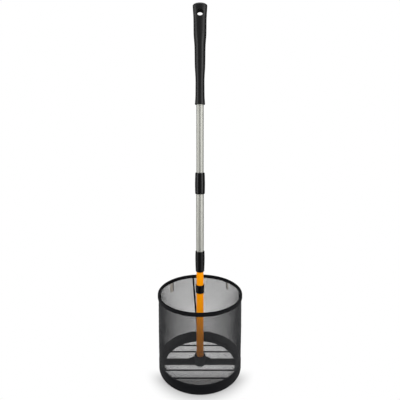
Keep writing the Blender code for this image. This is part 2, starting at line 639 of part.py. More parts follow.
def build_lock(name, stations, length, end, direction, tube_body, sleeve_body, plastic):
    """Twist lock: a slotted collet on the middle tube inside a sleeve that squeezes its fingers.

    end is the height of the end that the inner tube enters; direction points along the lock.
    """
    tip, root = LOCK_LIP + SEAT, TUBE_SHOULDER
    tail = length - COLLET_TAIL

    collet_points = [
        (FINGER_INNER, tip), (FINGER_INNER + FINGER_TIP, tip), (COLLET_OUTER, root), (COLLET_OUTER, tail),
        (COLLET_INNER, tail), (COLLET_INNER, root), (FINGER_INNER, root),
    ]
    collet = publish(f"{name}_lock_collet",
                     turned([(r, end + direction * s) for r, s in collet_points], POLE_SIDES),
                     tube_body, plastic)
    slots = bmesh.new()
    near, far = sorted((end, end + direction * (tip + FINGER_SLOT_LENGTH)))
    for k in range(FINGERS):
        add_box(slots, (TUBE_RADIUS, -FINGER_SLOT / 2, near), (COLLET_OUTER + EMBED, FINGER_SLOT / 2, far),
                turn=math.tau * (k + 0.5) / FINGERS)
    combine(collet, f"{name}_finger_slots", slots, tube_body, "DIFFERENCE")

    inside = [(SLEEVE_BORE, length), (SLEEVE_BORE, root), (FINGER_INNER + FINGER_TIP + THREAD, LOCK_LIP),
              (TUBE_RADIUS + SEAT, LOCK_LIP), (TUBE_RADIUS + SEAT, 0.0)]
    outline = sleeve_outline(stations, length) + inside
    publish(f"{name}_lock_sleeve", turned([(r, end + direction * s) for r, s in outline], LOCK_SIDES),
            sleeve_body, plastic)


def build_middle_pole(middle_pole, lower_lock, upper_lock, steel, plastic):
    """Middle tube with a twist lock at each end."""
    middle = tube(MIDDLE_TUBE_RADIUS, MIDDLE_TUBE_INNER, MIDDLE_TUBE_FOOT, MIDDLE_TUBE_TOP, POLE_SIDES)
    publish("middle_tube", middle, middle_pole, steel)
    build_lock("lower", LOWER_SLEEVE, LOWER_LOCK_LENGTH, LOWER_LOCK_FOOT, 1,
               middle_pole, lower_lock, plastic)
    build_lock("upper", UPPER_SLEEVE, UPPER_LOCK_LENGTH, UPPER_LOCK_TOP, -1,
               middle_pole, upper_lock, plastic)


def grip_sections():
    """(height, half width, half depth) of the grip's sections, and the crown's height."""
    first_height = GRIP_PROFILE[0][0]
    last_height = GRIP_PROFILE[-1][0]
    first_half = GRIP_BORE + GRIP_PROFILE[0][1]
    foot = arc((first_half - GRIP_FOOT_ROUND, GRIP_FOOT_ROUND), GRIP_FOOT_ROUND, -90, 0, 2)
    sections = [(height, half, half) for half, height in foot]
    count = round((last_height - first_height) / GRIP_STEP)
    for i in range(count + 1):
        height = first_height + (last_height - first_height) * i / count
        half = GRIP_BORE + smooth_value(GRIP_PROFILE, height)
        sections.append((height, half, half * smooth_value(GRIP_FLATTEN, height)))
    top_half = GRIP_BORE + GRIP_PROFILE[-1][1]
    top_share = GRIP_FLATTEN[-1][1]
    for turn in (math.pi / 4, math.pi / 2):
        half = top_half - GRIP_SHOULDER_INSET * (1 - math.cos(turn))
        sections.append((last_height + GRIP_SHOULDER_RISE * math.sin(turn), half, half * top_share))
    shoulder, crown_half = sections[-1][0], sections[-1][1]
    for k in range(1, GRIP_DOME_STEPS + 1):
        turn = math.pi / 2 * k / (GRIP_DOME_STEPS + 1)
        half = crown_half * math.cos(turn)
        sections.append((shoulder + GRIP_CROWN_RISE * math.sin(turn), half, half * top_share))
    return sections, shoulder + GRIP_CROWN_RISE


def build_upper_pole(upper_pole, steel, plastic, grip_rubber):
    """Upper tube, its end plug and the handle grip with its hanging hole."""
    tube_inner = TUBE_RADIUS - UPPER_TUBE_WALL
    publish("upper_tube", tube(TUBE_RADIUS, tube_inner, UPPER_TUBE_FOOT, UPPER_TUBE_TOP, POLE_SIDES),
            upper_pole, steel)
    publish("upper_tube_plug", end_plug(tube_inner - SEAT, UPPER_TUBE_FOOT, -1), upper_pole, plastic)

    bm = bmesh.new()
    rings = []
    sections, crown_height = grip_sections()
    for height, half_width, half_depth in sections:
        angles = [math.tau * (i + 0.5) / GRIP_SIDES for i in range(GRIP_SIDES)]
        rings.append([bm.verts.new((half_width * math.cos(a), half_depth * math.sin(a), GRIP_FOOT + height))
                      for a in angles])
    for low, high in zip(rings, rings[1:]):
        for i in range(GRIP_SIDES):
            j = (i + 1) % GRIP_SIDES
            bm.faces.new((low[i], low[j], high[j], high[i]))
    bm.faces.new(rings[0])
    crown = bm.verts.new((0, 0, GRIP_FOOT + crown_height))
    for i in range(GRIP_SIDES):
        bm.faces.new((rings[-1][i], rings[-1][(i + 1) % GRIP_SIDES], crown))
    bmesh.ops.recalc_face_normals(bm, faces=bm.faces)
    grip = publish("handle_grip", bm, upper_pole, grip_rubber)

    bore = bmesh.new()
    add_rod(bore, GRIP_BORE, (0, 0, GRIP_FOOT - EMBED), (0, 0, GRIP_FOOT + GRIP_BORE_DEPTH), POLE_SIDES)
    combine(grip, "grip_bore", bore, upper_pole, "DIFFERENCE")

    hole_half_width = GRIP_BORE + smooth_value(GRIP_PROFILE, HOLE_HEIGHT)
    hole_half_depth = hole_half_width * smooth_value(GRIP_FLATTEN, HOLE_HEIGHT)
    mouth = arc((HOLE_RADIUS + HOLE_LIP, hole_half_depth - HOLE_LIP), HOLE_LIP, 180, 90, 3)
    far = hole_half_depth + EMBED
    upper_half = mouth + [(HOLE_RADIUS + HOLE_LIP, far), (0, far)]
    lower_half = [(r, -h) for r, h in reversed(upper_half)]
    hole = turned(lower_half + upper_half, HOLE_SIDES, closed=False)
    along_y = Matrix.Rotation(math.radians(90), 4, "X")
    bmesh.ops.transform(hole, matrix=Matrix.Translation((0, 0, GRIP_FOOT + HOLE_HEIGHT)) @ along_y,
                        verts=hole.verts)
    combine(grip, "hanging_hole", hole, upper_pole, "DIFFERENCE")


def build():
    """Make every piece of the product."""
    clear_scene()
    plastic = finish("black_abs", "#17181a", 0.45)
    collet_plastic = finish("grey_acetal", "#55585a", 0.4)
    orange = finish("orange_painted_tube", "#ff9c05", 0.25)
    steel = finish("satin_stainless_steel", "#b9b8b0", 0.3, 1.0)
    wire = finish("spring_steel_wire", "#6b6d70", 0.35, 1.0)
    net = finish("black_polyester_net", "#2b2d30", 0.8)
    webbing = finish("black_webbing", "#1b1e22", 0.85)
    grey_webbing = finish("grey_webbing", "#8b8a86", 0.85)
    elastic = finish("black_elastic_cord", "#202225", 0.7)
    rubber = finish("black_grip_rubber", "#232323", 0.5)

    basket = body("basket", 0.0)
    lower_pole = body("lower_pole", DISC_FOOT, basket)
    nut_body = body("union", NUT_FOOT, lower_pole)
    middle_pole = body("middle_pole", MIDDLE_TUBE_FOOT, lower_pole)
    lower_lock = body("lower_lock", LOWER_LOCK_FOOT, middle_pole)
    upper_lock = body("upper_lock", UPPER_LOCK_FOOT, middle_pole)
    upper_pole = body("upper_pole", UPPER_TUBE_FOOT, middle_pole)

    build_base_frame(basket, plastic)
    build_elastic_cords(basket, elastic)
    build_soft_walls(basket, net, webbing, grey_webbing, wire)
    build_stays(basket, webbing, wire)
    build_post(basket, orange, plastic, steel)
    build_lower_pole(lower_pole, nut_body, orange, plastic)
    build_middle_pole(middle_pole, lower_lock, upper_lock, steel, collet_plastic)
    build_upper_pole(upper_pole, steel, plastic, rubber)


build()
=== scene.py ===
"""Looks of a table tennis ball pickup basket with a telescopic pole.

Rigid parts keep the shapes of the frame and get their finish here. The soft goods are made again as
sewn cloth: the net from single yarns, and its tapes with their weave and their rows of stitches.
"""

from __future__ import annotations

import json
import logging
import math
from dataclasses import dataclass, field, replace
from enum import Enum
from typing import Any, Callable, Iterable, Optional, Sequence

import bmesh
import bpy
import numpy as np
from bmesh.types import BMesh, BMVert
from bpy.types import Material, Mesh, Node, NodeSocket, NodeTree, Object
from mathutils import Matrix, Vector

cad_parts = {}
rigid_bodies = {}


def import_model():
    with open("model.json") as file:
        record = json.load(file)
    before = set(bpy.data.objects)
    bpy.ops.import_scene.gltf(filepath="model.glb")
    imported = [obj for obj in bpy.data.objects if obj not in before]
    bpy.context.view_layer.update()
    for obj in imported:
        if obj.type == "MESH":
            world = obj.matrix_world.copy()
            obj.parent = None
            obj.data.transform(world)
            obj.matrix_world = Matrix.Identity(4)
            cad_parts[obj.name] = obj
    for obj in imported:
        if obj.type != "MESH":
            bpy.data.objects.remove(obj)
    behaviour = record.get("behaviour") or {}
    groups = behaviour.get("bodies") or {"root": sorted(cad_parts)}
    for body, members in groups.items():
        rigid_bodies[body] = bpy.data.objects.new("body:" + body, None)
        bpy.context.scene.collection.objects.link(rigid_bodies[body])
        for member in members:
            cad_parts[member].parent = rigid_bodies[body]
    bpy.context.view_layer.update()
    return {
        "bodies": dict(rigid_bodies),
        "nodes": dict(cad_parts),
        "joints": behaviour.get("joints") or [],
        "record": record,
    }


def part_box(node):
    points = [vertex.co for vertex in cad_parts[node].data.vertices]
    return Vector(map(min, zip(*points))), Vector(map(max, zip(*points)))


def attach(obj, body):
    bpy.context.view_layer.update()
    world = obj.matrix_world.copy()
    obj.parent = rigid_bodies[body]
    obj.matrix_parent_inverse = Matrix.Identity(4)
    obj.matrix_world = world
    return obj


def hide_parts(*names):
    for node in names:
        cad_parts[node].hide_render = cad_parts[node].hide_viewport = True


log = logging.getLogger("basket")

# Lengths are in metres. Points of the frame closer than WELD are joined, and so are points of a new mesh
# closer than POLE_WELD. A corner sharper than SHARP_ANGLE shows as an edge, or is eased in EASE_STEPS
# steps where the outline of a turned part is read.
MM = 0.001
WELD = 0.002 * MM
POLE_WELD = 0.0001 * MM
SHARP_ANGLE = math.radians(32)
EASE_STEPS = 4
# A wave texture turns by this many radians in each unit of its scaled place
WAVE_TURN = 20
FRAME: dict[str, Any] = {}

Point = tuple[float, float]
Outline = Sequence[Point]


class Body(Enum):
    """The bodies of the frame that pieces ride on."""

    BASKET = "basket"
    LOWER_POLE = "lower_pole"
    UNION = "union"
    MIDDLE_POLE = "middle_pole"
    LOWER_LOCK = "lower_lock"
    UPPER_LOCK = "upper_lock"
    UPPER_POLE = "upper_pole"


class Pattern(Enum):
    """How the threads of a cloth cross: the angle of the weave, in degrees."""

    TAPE = 0
    BRAID = 45


# Finishes


def linear(colour: str) -> tuple[float, float, float, float]:
    """Turn an sRGB hex colour into linear light.

    Args:
        colour: The colour as "#rrggbb".

    Returns:
        Red, green, blue and an alpha of 1.
    """
    channels = [int(colour[i:i + 2], 16) / 255 for i in (1, 3, 5)]
    light = [c / 12.92 if c <= 0.04045 else ((c + 0.055) / 1.055) ** 2.4 for c in channels]
    return light[0], light[1], light[2], 1.0


def feed(tree: NodeTree, node: Node, inputs: dict[Any, Any]) -> None:
    """Give a node's inputs their constants and links.

    Args:
        tree: The tree that holds the node.
        node: The node.
        inputs: For each input, by name or number, a constant, an output socket, or a node, which stands
            for its first output in use.
    """
    for name, given in inputs.items():
        if isinstance(given, Node):
            given = next(socket for socket in given.outputs if socket.enabled)
        if isinstance(given, NodeSocket):
            tree.links.new(given, node.inputs[name])
        else:
            node.inputs[name].default_value = given


def add_node(tree: NodeTree, kind: str, inputs: Optional[dict[Any, Any]] = None, **settings: Any) -> Node:
    """Add a node with its settings, its constants and its links.

    Args:
        tree: The tree that takes the node.
        kind: The node's type, such as "ShaderNodeMath".
        inputs: Its inputs, as feed takes them.
        settings: Attributes of the node, such as its operation.

    Returns:
        The new node.
    """
    node = tree.nodes.new(kind)
    for name, value in settings.items():
        setattr(node, name, value)
    feed(tree, node, inputs or {})
    return node


@dataclass(frozen=True)
class Finish:
    """A plain surface. Subclasses add what their real material shows.

    Attributes:
        name: Name of the material, after the real finish.
        slot: The record's material slot for this finish; not used.
        colour: Body colour in sRGB hex.
        roughness: Roughness of the surface.
        metallic: 1 for bare metal.
    """

    name: str
    slot: str
    colour: str
    roughness: float
    metallic: float = 0.0

    def material(self) -> Material:
        """Make the material the first time, and find it after that.

        Returns:
            The material.
        """
        known = bpy.data.materials.get(self.name)
        if known:
            return known
        material = bpy.data.materials.new(self.name)
        material.use_nodes = True
        tree = material.node_tree
        shader = tree.nodes["Principled BSDF"]
        feed(tree, shader, {"Base Color": linear(self.colour), "Roughness": self.roughness,
                            "Metallic": self.metallic})
        self.dress(tree, shader)
        return material

    def dress(self, tree: NodeTree, shader: Node) -> None:
        """Add the surface's own texture; a plain finish has none."""


@dataclass(frozen=True)
class Grained(Finish):
    """A surface with a fine even grain that breaks up its gloss.

    Attributes:
        grain: Distance between grains.
        depth: Height of the grains.
        detail: How many times a grain is split finer.
        relief: Share of the grain's slope that the gloss shows.
        specular: Specular level of the surface.
    """

    grain: float = 0.5 * MM
    depth: float = 0.012 * MM
    detail: float = 2.0
    relief: float = 0.2
    specular: float = 0.5

    def dress(self, tree: NodeTree, shader: Node) -> None:
        """Add the grain.

        Args:
            tree: The material's node tree.
            shader: Its main shader.
        """
        place = add_node(tree, "ShaderNodeTexCoord").outputs["Object"]
        grain = add_node(tree, "ShaderNodeTexNoise",
                         {"Vector": place, "Scale": 1 / self.grain, "Detail": self.detail})
        bump = add_node(tree, "ShaderNodeBump",
                        {"Strength": self.relief, "Distance": self.depth, "Height": grain})
        feed(tree, shader, {"Specular IOR Level": self.specular, "Normal": bump})


@dataclass(frozen=True)
class Moulded(Grained):
    """Plastic or rubber from a spark-eroded mould, which leaves its own fine grain."""


@dataclass(frozen=True)
class Painted(Grained):
    """Gloss stoved paint on tube: a smooth coat over the colour, with a faint orange peel as its grain.

    Attributes:
        coat: Weight of the clear gloss.
        coat_roughness: Its roughness.
    """

    grain: float = 3.0 * MM
    depth: float = 0.01 * MM
    detail: float = 1.0
    specular: float = 0.1
    coat: float = 0.08
    coat_roughness: float = 0.12

    def dress(self, tree: NodeTree, shader: Node) -> None:
        """Add the peel and the coat."""
        super().dress(tree, shader)
        feed(tree, shader, {"Coat Weight": self.coat, "Coat Roughness": self.coat_roughness})


@dataclass(frozen=True)
class DrawnTube(Finish):
    """Satin stainless tube: drawing leaves fine lines along it, which spread the gloss sideways.

    Attributes:
        line: Distance between the lines round the tube.
        run: Length of a line along the tube.
        spread: How much the roughness changes from line to line.
    """

    line: float = 0.5 * MM
    run: float = 90.0 * MM
    spread: float = 0.04

    def dress(self, tree: NodeTree, shader: Node) -> None:
        """Add the drawn lines.

        Args:
            tree: The material's node tree.
            shader: Its main shader.
        """
        place = add_node(tree, "ShaderNodeTexCoord").outputs["Object"]
        stretch = add_node(tree, "ShaderNodeMapping",
                           {"Vector": place, "Scale": (1 / self.line, 1 / self.line, 1 / self.run)})
        lines = add_node(tree, "ShaderNodeTexNoise", {"Vector": stretch, "Scale": 1.0, "Detail": 1.0})
        rough = add_node(tree, "ShaderNodeMapRange",
                         {"Value": lines, "To Min": self.roughness - self.spread / 2,
                          "To Max": self.roughness + self.spread / 2})
        feed(tree, shader, {"Roughness": rough})


@dataclass(frozen=True)
class Cloth(Finish):
    """Woven tape or braided cord: threads that stand up, with painted shade darkening the gaps between them,
    and a dull sheen.

    Attributes:
        pattern: How the threads cross.
        thread: Distance between threads; drawn coarser than the real 0.4 mm so that it shows.
        flatness: That distance as a multiple of a thread's height.
        relief: Share of the threads' slope that the light shows.
        gap_shade_colour: Colour between the threads in sRGB hex, darker than the threads as painted shade in
            the weave's hollows.
        sheen: Weight of the sheen.
        specular: Specular level of the threads.
    """

    pattern: Pattern = Pattern.TAPE
    thread: float = 0.9 * MM
    flatness: float = 5.0
    relief: float = 0.5
    gap_shade_colour: str = "#020203"
    sheen: float = 0.03
    specular: float = 0.12

    def dress(self, tree: NodeTree, shader: Node) -> None:
        """Add the threads on the piece's own UV map, which is in metres.

        Args:
            tree: The material's node tree.
            shader: Its main shader.
        """
        place = add_node(tree, "ShaderNodeUVMap", uv_map="cloth")
        turned = add_node(tree, "ShaderNodeMapping",
                          {"Vector": place, "Rotation": (0.0, 0.0, math.radians(self.pattern.value))})
        scale = math.tau / (WAVE_TURN * self.thread)
        warp, weft = (add_node(tree, "ShaderNodeTexWave",
                               {"Vector": turned, "Scale": scale, "Distortion": 0.0},
                               wave_type="BANDS", bands_direction=direction).outputs["Fac"]
                      for direction in ("X", "Y"))
        # Where neither thread stands up, the gap takes the darker gap colour: painted shade in the hollows of
        # the weave
        crossing = add_node(tree, "ShaderNodeMath", {0: warp, 1: weft}, operation="MAXIMUM")
        shade = add_node(tree, "ShaderNodeMix",
                         {"A": linear(self.gap_shade_colour), "B": linear(self.colour), "Factor": crossing},
                         data_type="RGBA")
        bump = add_node(tree, "ShaderNodeBump", {"Strength": self.relief, "Height": crossing,
                                                 "Distance": self.thread / self.flatness})
        feed(tree, shader, {"Sheen Weight": self.sheen, "Specular IOR Level": self.specular,
                            "Base Color": shade, "Normal": bump})


@dataclass(frozen=True)
class Yarn(Finish):
    """Polyester yarn: smooth filaments with a soft sheen and no pattern at this size.

    Attributes:
        sheen: Weight of the sheen.
        specular: Specular level of the filaments.
    """

    sheen: float = 0.1
    specular: float = 0.3

    def dress(self, tree: NodeTree, shader: Node) -> None:
        """Add the filaments' sheen."""
        feed(tree, shader, {"Sheen Weight": self.sheen, "Specular IOR Level": self.specular})


# Black ABS, matt from the mould, deep black with a weak broad gloss
FRAME_PLASTIC = Moulded("moulded_black_abs", "frame_plastic", "#15171a", 0.5, specular=0.3)
# Black nylon fittings, smoother than the frame, so their gloss is a little tighter
FITTING_PLASTIC = Moulded("moulded_black_nylon", "fitting_plastic", "#050505", 0.27, grain=0.4 * MM,
                          depth=0.008 * MM, specular=0.3)
# The same nylon on the twist locks' sleeves, which have a slot of their own
SLEEVE_PLASTIC = replace(FITTING_PLASTIC, slot="sleeve_plastic")
# Grey acetal of the collets, waxy and even
COLLET_PLASTIC = Moulded("grey_acetal", "collet_plastic", "#55585a", 0.4, depth=0.006 * MM)
# Soft black rubber of the grip, satin, which shows the lamps as broad grey bands
GRIP_RUBBER = Moulded("satin_grip_rubber", "grip_rubber", "#171717", 0.32, grain=0.7 * MM,
                      depth=0.01 * MM, specular=0.3)
# Satin stainless steel tube, warm grey, with soft dark and bright bands along it
STEEL_TUBE = DrawnTube("satin_stainless_tube", "satin_steel", "#cacac3", 0.6, metallic=1.0)
# Orange gloss paint on steel tube, strong in colour with a faint clear gloss
ORANGE_TUBE = Painted("orange_gloss_paint", "orange_tube", "#ff9c00", 0.3)
# Oiled spring steel wire, dark grey
SPRING_WIRE = Finish("drawn_spring_wire", "spring_wire", "#6b6d70", 0.35, metallic=1.0)
# Zinc plated steel, pale and even
ZINC_STEEL = Finish("zinc_plated_steel", "zinc_steel", "#b9babd", 0.32, metallic=1.0)
# Black polyester net yarn, dull, with a soft light along its curve
NET_YARN = Yarn("black_net_yarn", "net", "#1b1c1f", 0.7)
# Black sewing thread, a touch lighter than the tape so that the rows show
SEWING_THREAD = Yarn("black_sewing_thread", "webbing", "#232427", 0.6)
# Near-black thread, thick and close set, along the edge of each tab that faces the middle: painted shade, the
# tab's shaded side drawn as a dark line of stitches
TAB_SHADE_THREAD = Yarn("tab_edge_painted_shade", "grey_webbing", "#141311", 0.8)
# Black woven polyester tape, ribbed and dull
BLACK_TAPE = Cloth("black_woven_tape", "webbing", "#0c0d11", 0.8)
# Grey woven polyester tape, warmer and lighter than the net behind it, with a darker painted shade between
# its threads
GREY_TAPE = Cloth("grey_woven_tape", "grey_webbing", "#bfbcb5", 0.8, gap_shade_colour="#84817b", specular=0.3)
# Black braided cover of the elastic cord, a slanted weave with a dull gloss
BRAID = Cloth("black_braided_elastic", "elastic", "#26282b", 0.7, pattern=Pattern.BRAID,
              thread=0.8 * MM)


# Meshes


def placed(name: str, data: Any) -> Object:
    """Add an object to the scene.

    Args:
        name: Name of the object.
        data: Its mesh, lamp or camera.

    Returns:
        The new object.
    """
    thing = bpy.data.objects.new(name, data)
    bpy.context.scene.collection.objects.link(thing)
    return thing


def dressed(name: str, mesh: Mesh, finish: Finish, body: Body, *stands_for: str) -> Object:
    """Make a finished piece from a mesh in the row frame.

    Args:
        name: Name of the piece.
        mesh: Its mesh, in place.
        finish: Its finish.
        body: The body that it moves with.
        stands_for: CAD nodes that it replaces.

    Returns:
        The new object.
    """
    mesh.materials.clear()
    mesh.materials.append(finish.material())
    piece = placed(name, mesh)
    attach(piece, body.value)
    if stands_for:
        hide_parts(*stands_for)
    mesh.calc_loop_triangles()
    log.info("%-22s %7d triangles, on %s", name, len(mesh.loop_triangles), body.value)
    return piece


def evenly(start: float, end: float, steps: int) -> list[float]:
    """Return values from start to end in even steps, both included."""
    return [start + (end - start) * i / steps for i in range(steps + 1)]


def bend(start: Vector, corner: Vector, end: Vector, t: float) -> Vector:
    """Return the point at t from 0 to 1 on the curve that rounds a corner."""
    return start * (1 - t) ** 2 + corner * (2 * t * (1 - t)) + end * t ** 2


def smoothed(mesh: Mesh) -> Mesh:
    """Shade a mesh smoothly and keep its sharp corners.

    Args:
        mesh: The mesh, which is changed.

    Returns:
        The same mesh.
    """
    mesh.shade_smooth()
    mesh.set_sharp_from_angle(angle=SHARP_ANGLE)
    return mesh


def to_mesh(name: str, bm: BMesh) -> Mesh:
    """Turn a bmesh into a smooth mesh.

    Args:
        name: Name of the mesh.
        bm: The shape, which is freed.

    Returns:
        The mesh.
    """
    mesh = bpy.data.meshes.new(name)
    bm.to_mesh(mesh)
    bm.free()
    return smoothed(mesh)


def merged(node: str) -> BMesh:
    """Join the loose triangles of a CAD node's shape.

    Args:
        node: Name of the node.

    Returns:
        The joined shape.
    """
    bm = bmesh.new()
    bm.from_mesh(FRAME["nodes"][node].data)
    bmesh.ops.remove_doubles(bm, verts=bm.verts, dist=WELD)
    bm.verts.index_update()
    return bm


def frame_copy(node: str) -> Mesh:
    """Copy a CAD node's shape, without the flat shading that the frame's file gives it.

    Args:
        node: Name of the node.

    Returns:
        A smooth mesh of the same shape.
    """
    bm = merged(node)
    mesh = bpy.data.meshes.new(f"{node}_surface")
    mesh.from_pydata([vert.co.copy() for vert in bm.verts], [],
                     [[vert.index for vert in face.verts] for face in bm.faces])
    bm.free()
    return smoothed(mesh)


def corners_of(node: str) -> np.ndarray:
    """Read where a CAD node's vertices are.

    Args:
        node: Name of the node.

    Returns:
        Rows of x, y, z.
    """
    vertices = FRAME["nodes"][node].data.vertices
    places = np.empty(len(vertices) * 3)
    vertices.foreach_get("co", places)
    return places.reshape(-1, 3)


def inner_radius(node: str) -> float:
    """Return a CAD node's least distance from the pole's axis."""
    places = corners_of(node)
    return float(np.hypot(places[:, 0], places[:, 1]).min())


def outline_of(node: str) -> tuple[list[Point], bool]:
    """Read the outline of a CAD node that is turned about the pole's axis.

    Args:
        node: Name of the node.

    Returns:
        The outline as (radius, height), and True if it closes and so never meets the axis.
    """
    bm = merged(node)
    edge_on = {vert for vert in bm.verts if abs(vert.co.y) < WELD and vert.co.x > -WELD}
    beside = {vert: [edge.other_vert(vert) for edge in vert.link_edges if edge.other_vert(vert) in edge_on]
              for vert in edge_on}
    ends = [vert for vert in edge_on if len(beside[vert]) == 1]
    chain = [min(ends or edge_on, key=lambda vert: vert.index)]
    while ahead := [vert for vert in beside[chain[-1]] if vert not in chain]:
        chain.append(min(ahead, key=lambda vert: vert.index))
    outline = [(float(vert.co.x), float(vert.co.z)) for vert in chain]
    bm.free()
    if ends:
        outline = [(0.0, outline[0][1])] + outline + [(0.0, outline[-1][1])]
    return outline, not ends


def eased(outline: Outline, edge: float, closes: bool) -> list[Point]:
    """Round the outer corners of an outline, as a mould or a deburring tool leaves them.

    Args:
        outline: Points as (radius, height).
        edge: Radius of the rounding.
        closes: True if the last point joins the first.

    Returns:
        The outline with its sharp outer corners rounded.
    """
    corners = [Vector(point) for point in outline]
    count = len(corners)
    area = sum(corners[i - 1].cross(corners[i]) for i in range(count))
    points: list[Point] = []
    for i, corner in enumerate(corners):
        before, after = corner - corners[i - 1], corners[(i + 1) % count] - corner
        turn = math.atan2(before.cross(after), before.dot(after)) * math.copysign(1.0, area)
        at_axis = not closes and i in (0, count - 1)
        if at_axis or turn < SHARP_ANGLE:
            points.append((corner.x, corner.y))
            continue
        reach = min(edge * math.tan(turn / 2), before.length / 3, after.length / 3)
        start, end = corner - before.normalized() * reach, corner + after.normalized() * reach
        points += [tuple(bend(start, corner, end, t)) for t in evenly(0.0, 1.0, EASE_STEPS)]
    return points


def grid_mesh(name: str, rows: Sequence[Sequence[Vector]], across: Sequence[float], along: Sequence[float],
              closes: bool) -> Mesh:
    """Make a tube or a ring from rows of points, with its UV map in metres.

    Args:
        name: Name of the mesh.
        rows: Rows of points, each of which closes.
        across: The map's first value at each point of a row, and once more at its first point.
        along: The map's second value at each row, and once more at the first row if they close.
        closes: True if the last row joins the first; if not, an open end gets a flat cap.

    Returns:
        The mesh, with its normals outward.
    """
    bm = bmesh.new()
    cloth = bm.loops.layers.uv.new("cloth")
    verts = [[bm.verts.new(point) for point in row] for row in rows]
    row_count, point_count = len(rows), len(rows[0])
    for i in range(row_count if closes else row_count - 1):
        for j in range(point_count):
            k, m = (i + 1) % row_count, (j + 1) % point_count
            face = bm.faces.new((verts[i][j], verts[i][m], verts[k][m], verts[k][j]))
            spots = ((across[j], along[i]), (across[j + 1], along[i]),
                     (across[j + 1], along[i + 1]), (across[j], along[i + 1]))
            for loop, spot in zip(face.loops, spots):
                loop[cloth].uv = spot
    bmesh.ops.remove_doubles(bm, verts=bm.verts, dist=POLE_WELD)
    bmesh.ops.holes_fill(bm, edges=[edge for edge in bm.edges if edge.is_boundary], sides=0)
    bmesh.ops.recalc_face_normals(bm, faces=bm.faces)
    return to_mesh(name, bm)


def revolved(name: str, outline: Outline, sides: int, closes: bool = True) -> Mesh:
    """Turn an outline about the Z axis.

    Args:
        name: Name of the mesh.
        outline: Points as (radius, height).
        sides: Number of steps round the axis.
        closes: True if the last point joins the first, False if both ends lie on the axis.

    Returns:
        The mesh, with a UV map of arc length and outline length.
    """
    radius = max(r for r, _ in outline)
    lengths = [math.dist(a, b) for a, b in zip(outline, [*outline[1:], outline[0]])]
    along = list(np.concatenate([[0.0], np.cumsum(lengths)]))
    turns = evenly(0.0, math.tau, sides)
    rows = [[Vector((r * math.cos(turn), r * math.sin(turn), z)) for turn in turns[:-1]] for r, z in outline]
    return grid_mesh(name, rows, [turn * radius for turn in turns], along, closes)


def arc(centre: Point, radius: float, start: float, end: float, steps: int) -> list[Point]:
    """Return points on an arc in the (radius, height) plane, angles in degrees."""
    angles = [math.radians(angle) for angle in evenly(start, end, steps)]
    return [(centre[0] + radius * math.cos(a), centre[1] + radius * math.sin(a)) for a in angles]


def smooth_value(stations: Sequence[Point], place: float) -> float:
    """Return the value at a place on a smooth curve that never overshoots its stations.

    Args:
        stations: Points as (place, value), in order.
        place: Where to read the curve.

    Returns:
        The value there.
    """
    places, values = zip(*stations)
    slopes = [(v1 - v0) / (p1 - p0) for p0, p1, v0, v1 in zip(places, places[1:], values, values[1:])]
    tangents = [slopes[0]]
    for before, after in zip(slopes, slopes[1:]):
        tangents.append(0.0 if before * after <= 0 else 2 * before * after / (before + after))
    tangents.append(slopes[-1])
    place = min(max(place, places[0]), places[-1])
    k = max(i for i, p in enumerate(places[:-1]) if p <= place)
    span = places[k + 1] - places[k]
    t = (place - places[k]) / span
    return ((1 + 2 * t) * (1 - t) ** 2 * values[k] + t * (1 - t) ** 2 * span * tangents[k]
            + t * t * (3 - 2 * t) * values[k + 1] + t * t * (t - 1) * span * tangents[k + 1])


def on_wall(radius: float, angle: float, height: float) -> Vector:
    """Return a point on a cylinder round the pole; angles run from +Y towards -X."""
    return Vector((-radius * math.sin(angle), radius * math.cos(angle), height))


def wire_mesh(name: str, lines: Iterable[Sequence[Vector]]) -> Mesh:
    """Make a mesh of edges only.

    Args:
        name: Name of the mesh.
        lines: Lines of points; each gives one run of edges.

    Returns:
        The mesh.
    """
    points: list[Vector] = []
    edges: list[tuple[int, int]] = []
    for line in lines:
        first = len(points)
        points.extend(line)
        edges.extend((first + i, first + i + 1) for i in range(len(line) - 1))
    mesh = bpy.data.meshes.new(name)
    mesh.from_pydata(points, edges, [])
    return mesh


# Geometry trees


